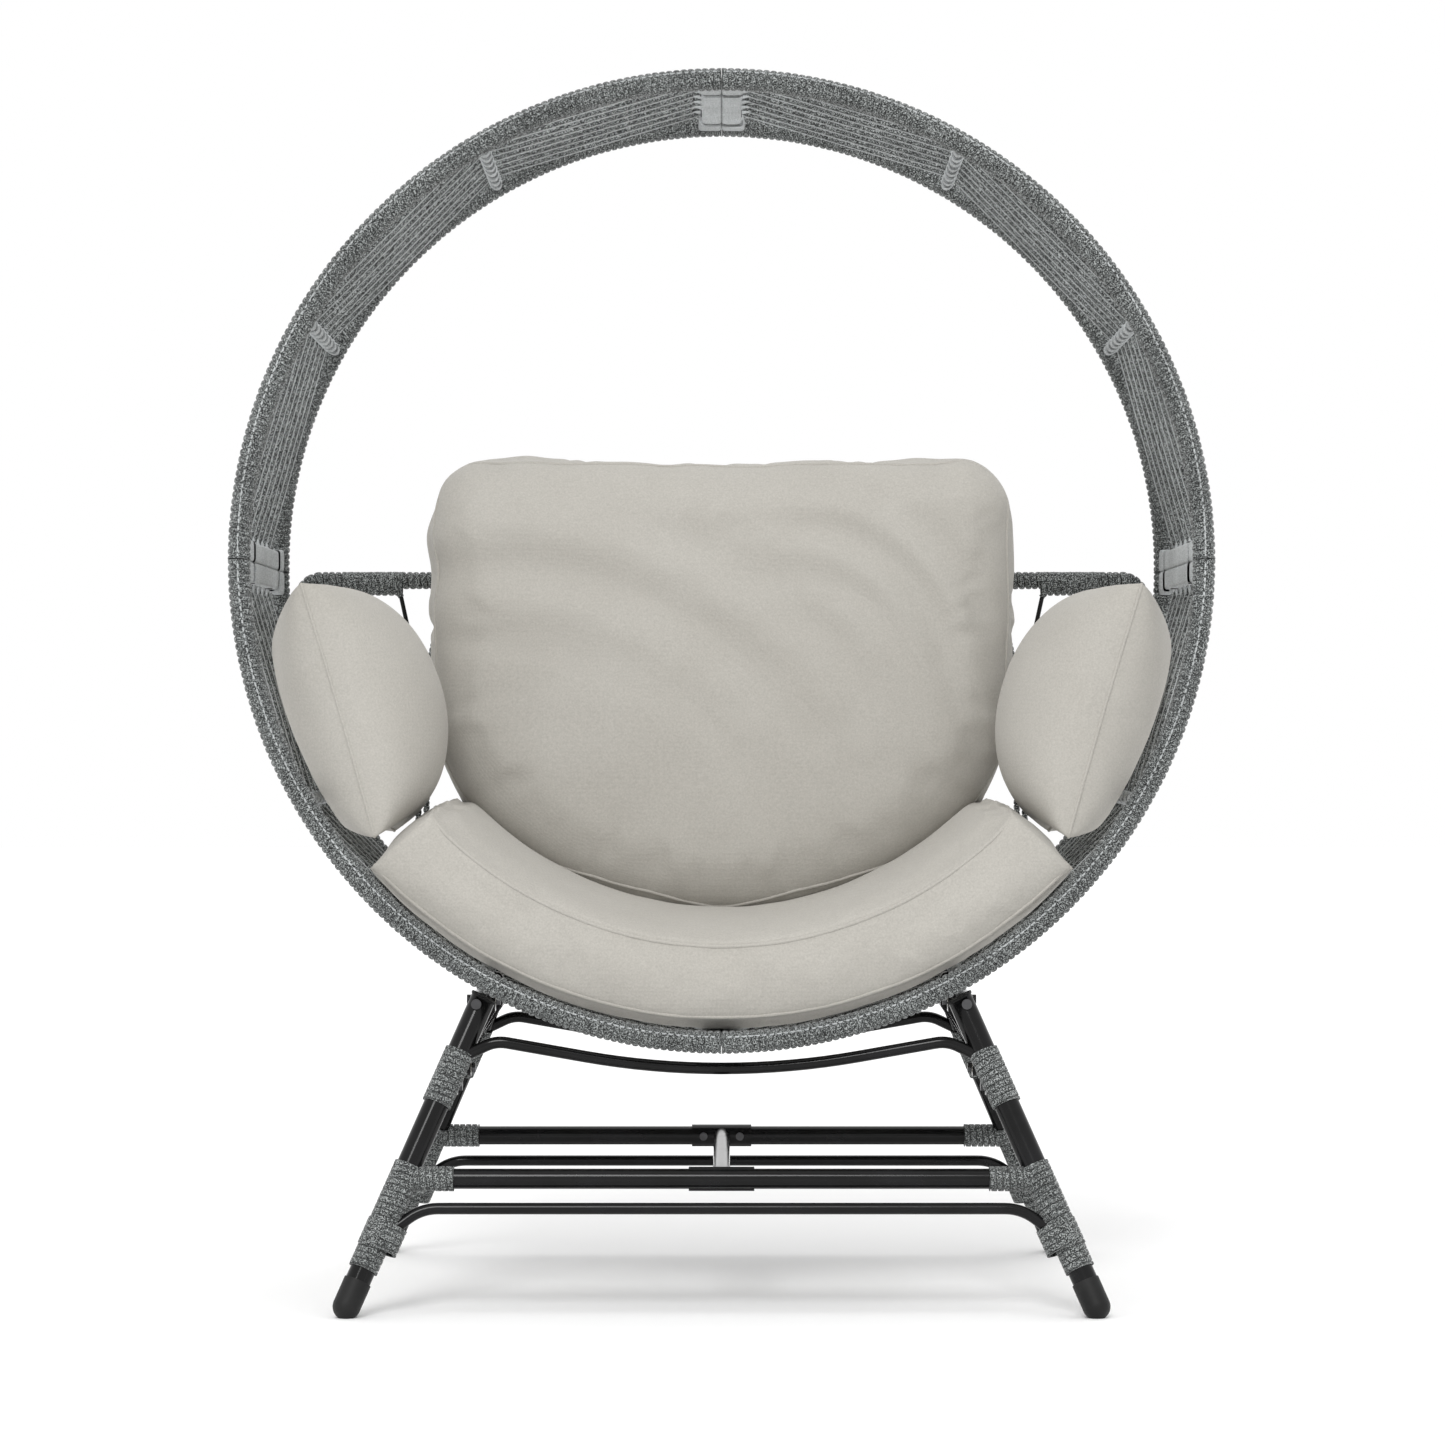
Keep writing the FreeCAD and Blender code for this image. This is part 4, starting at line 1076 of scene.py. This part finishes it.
def press_down(made, reach):
    """The back cushion's lower edge, spread on to the seat cushion by its own weight."""
    spread = 0.024
    band = 0.090
    below = 0.20
    fade = 0.10
    x, y, z = positions(made.data).T
    radius = np.hypot(x, z - HOOP_HEIGHT)
    limit = min(radius[HOOP_HEIGHT - z > below].max(), reach)
    share = np.clip((radius - limit + band) / band, 0, 1) * np.clip((HOOP_HEIGHT - below - z) / fade, 0, 1)
    grown = 1 + spread * share / np.maximum(radius, 0.1)
    set_positions(made.data, np.stack([x * grown, y, HOOP_HEIGHT + (z - HOOP_HEIGHT) * grown], axis=1))


def bell(value, middle, spread):
    return np.exp(-(((value - middle) / spread) ** 2))


def wave(distance, length, height):
    return np.sin(2 * math.pi * distance / length) * height


def fold_back(made):
    """Soft arcs of slack cloth across the back cushion's upper right, and puckers along its rim."""
    low, high = (np.array(corner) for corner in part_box("back_cushion"))
    points = positions(made.data)
    x, y, z = points.T
    up = z - low[2]
    face = np.clip((high[1] - 0.06 - y) / 0.04, 0, 1)

    # short arcs round a point low in the middle of the face, which wander a little
    near = np.hypot(x - 0.02, up - 0.19)
    angle = np.degrees(np.arctan2(up - 0.19, x - 0.02))
    wander = near + 0.016 * np.sin(np.radians(angle * 4 + 40))
    fold = wave(wander, 0.068, 0.00522) * bell(near, 0.33, 0.10) * bell(angle, 48, 34)

    # long arcs round a point beyond the lower left, on the upper part only
    far = np.hypot(x + 0.30, up + 0.05)
    fold += wave(far, 0.105, 0.00468) * bell(far, 0.52, 0.13) * np.clip((up - 0.18) / 0.2, 0, 1)

    # puckers where the cloth is gathered along the seam, deeper along the top
    from_top = high[2] - z
    from_edge = np.minimum(np.minimum(x - low[0], high[0] - x), from_top)
    depth = bell(from_edge, 0, 0.035) * (up > 0.2) * (0.0022 + 0.0045 * bell(from_top, 0, 0.035))
    grain = np.array([noise.noise(Vector((p[0] * 20, p[1] * 6, p[2] * 20))) for p in points])
    set_positions(made.data, points + normals_of(made.data) * (fold * face + grain * depth)[:, None])


def pillow_panels(side):
    """Two panels sewn round the edge and drawn in between the corners: points, faces and the edge's loop."""
    cells = PILLOW_CELLS
    even = np.linspace(-1, 1, cells + 1)
    share = np.sin(even * math.pi / 2) * PILLOW_CROWDING + even * (1 - PILLOW_CROWDING)
    u, v = np.meshgrid(share, share, indexing="ij")
    deep = u * PILLOW_DEPTH / 2 * (1 - PILLOW_FRONT_PULL * (1 - v**2))
    tall = v * (PILLOW_LENGTH / 2 + PILLOW_TALLER) * (1 - PILLOW_TOP_PULL * (1 - u**2))
    full = np.clip((1 - u**2) * (1 - v**2), 0, 1) ** PILLOW_FULLNESS
    points = []
    index = {}
    faces = []
    for panel, thick in ((1, PILLOW_INNER), (-1, PILLOW_OUTER)):
        for i in range(cells + 1):
            for j in range(cells + 1):
                on_edge = i in (0, cells) or j in (0, cells)
                if on_edge and panel < 0:
                    index[panel, i, j] = index[1, i, j]
                    continue
                index[panel, i, j] = len(points)
                points.append((panel * thick * full[i, j], deep[i, j], tall[i, j]))
        for i in range(cells):
            for j in range(cells):
                corner = [index[panel, i + a, j + b] for a, b in ((0, 0), (1, 0), (1, 1), (0, 1))]
                faces.append(corner if panel * side < 0 else corner[::-1])
    rim = [(i, 0) for i in range(cells)] + [(cells, j) for j in range(cells)]
    rim += [(cells - i, cells) for i in range(cells)] + [(0, cells - j) for j in range(cells)]
    return np.array(points), faces, [index[1, i, j] for i, j in rim]


def sewn_pillow(name, side):
    """A pillow that leans out against the drum, blown up as cloth and kept inside the hoops."""
    points, faces, rim = pillow_panels(side)
    x, y, z = points.T
    x = -x * side
    lean = side * PILLOW_LEAN
    turned = np.stack([x * cos(lean) + z * sin(lean), y, z * cos(lean) - x * sin(lean)], axis=1)
    start = turned * PILLOW_START + (side * PILLOW_CENTRE[0], PILLOW_CENTRE[1], PILLOW_CENTRE[2])
    data = bpy.data.meshes.new(name)
    data.from_pydata(start.tolist(), [], faces)
    data.update()
    made = new_object(name, data)
    blow_up(made, PILLOW_PRESSURE, PILLOW_CAP)
    placed = positions(made.data)
    room = HOOP_RADIUS - HOOP_TUBE - HOOP_LIFT - CUSHION_CLEARANCE
    held = np.minimum(1.0, room / np.hypot(placed[:, 0], placed[:, 2] - HOOP_HEIGHT))
    placed[:, 0] *= held
    placed[:, 2] = HOOP_HEIGHT + (placed[:, 2] - HOOP_HEIGHT) * held
    set_positions(made.data, placed)
    return made, [tuple(placed[number]) for number in rim]


# Stage


def studio_floor():
    bpy.ops.mesh.primitive_plane_add(size=FLOOR_SIZE, location=(0, 0, 0))
    floor = bpy.context.active_object
    floor.name = "floor"
    material, tree, shader = new_material("floor_paint", grey(0.9), 0.9)
    shade = ramp(tree, speckle(tree, 0.6), [(0.3, grey(0.93)), (0.7, grey(0.95))])
    tree.links.new(shade, shader.inputs["Base Color"])
    shader.inputs["Specular IOR Level"].default_value = 0.0
    floor.data.materials.append(material)


def studio_light():
    world = bpy.data.worlds.new("studio")
    world.use_nodes = True
    background = world.node_tree.nodes["Background"]
    background.inputs["Color"].default_value = (1, 1, 1, 1)
    background.inputs["Strength"].default_value = 1.0
    bpy.context.scene.world = world
    bpy.context.scene.view_settings.view_transform = "Standard"
    for name, light in LIGHTS.items():
        lamp = bpy.data.lights.new(name, "SUN")
        lamp.angle = math.radians(light["angle"])
        lamp.energy = light["strength"]
        holder = new_object(name, lamp)
        holder.location = light["place"]
        aim = Vector(LIGHT_TARGET) - Vector(light["place"])
        holder.rotation_euler = aim.to_track_quat("-Z", "Y").to_euler()


def front_camera():
    camera = bpy.data.cameras.new("camera")
    camera.lens = CAMERA_LENS
    camera.sensor_width = CAMERA_SENSOR
    holder = new_object("camera", camera)
    holder.location = CAMERA_PLACE
    holder.rotation_euler = (math.pi / 2, 0, 0)
    bpy.context.scene.camera = holder


studio_floor()
studio_light()
front_camera()
hoop_ropes()
hoop_glint_thread()
lacing()
spacer_twine()
joint_twine()
backrest_rope()
leg_ropes()
cushions()
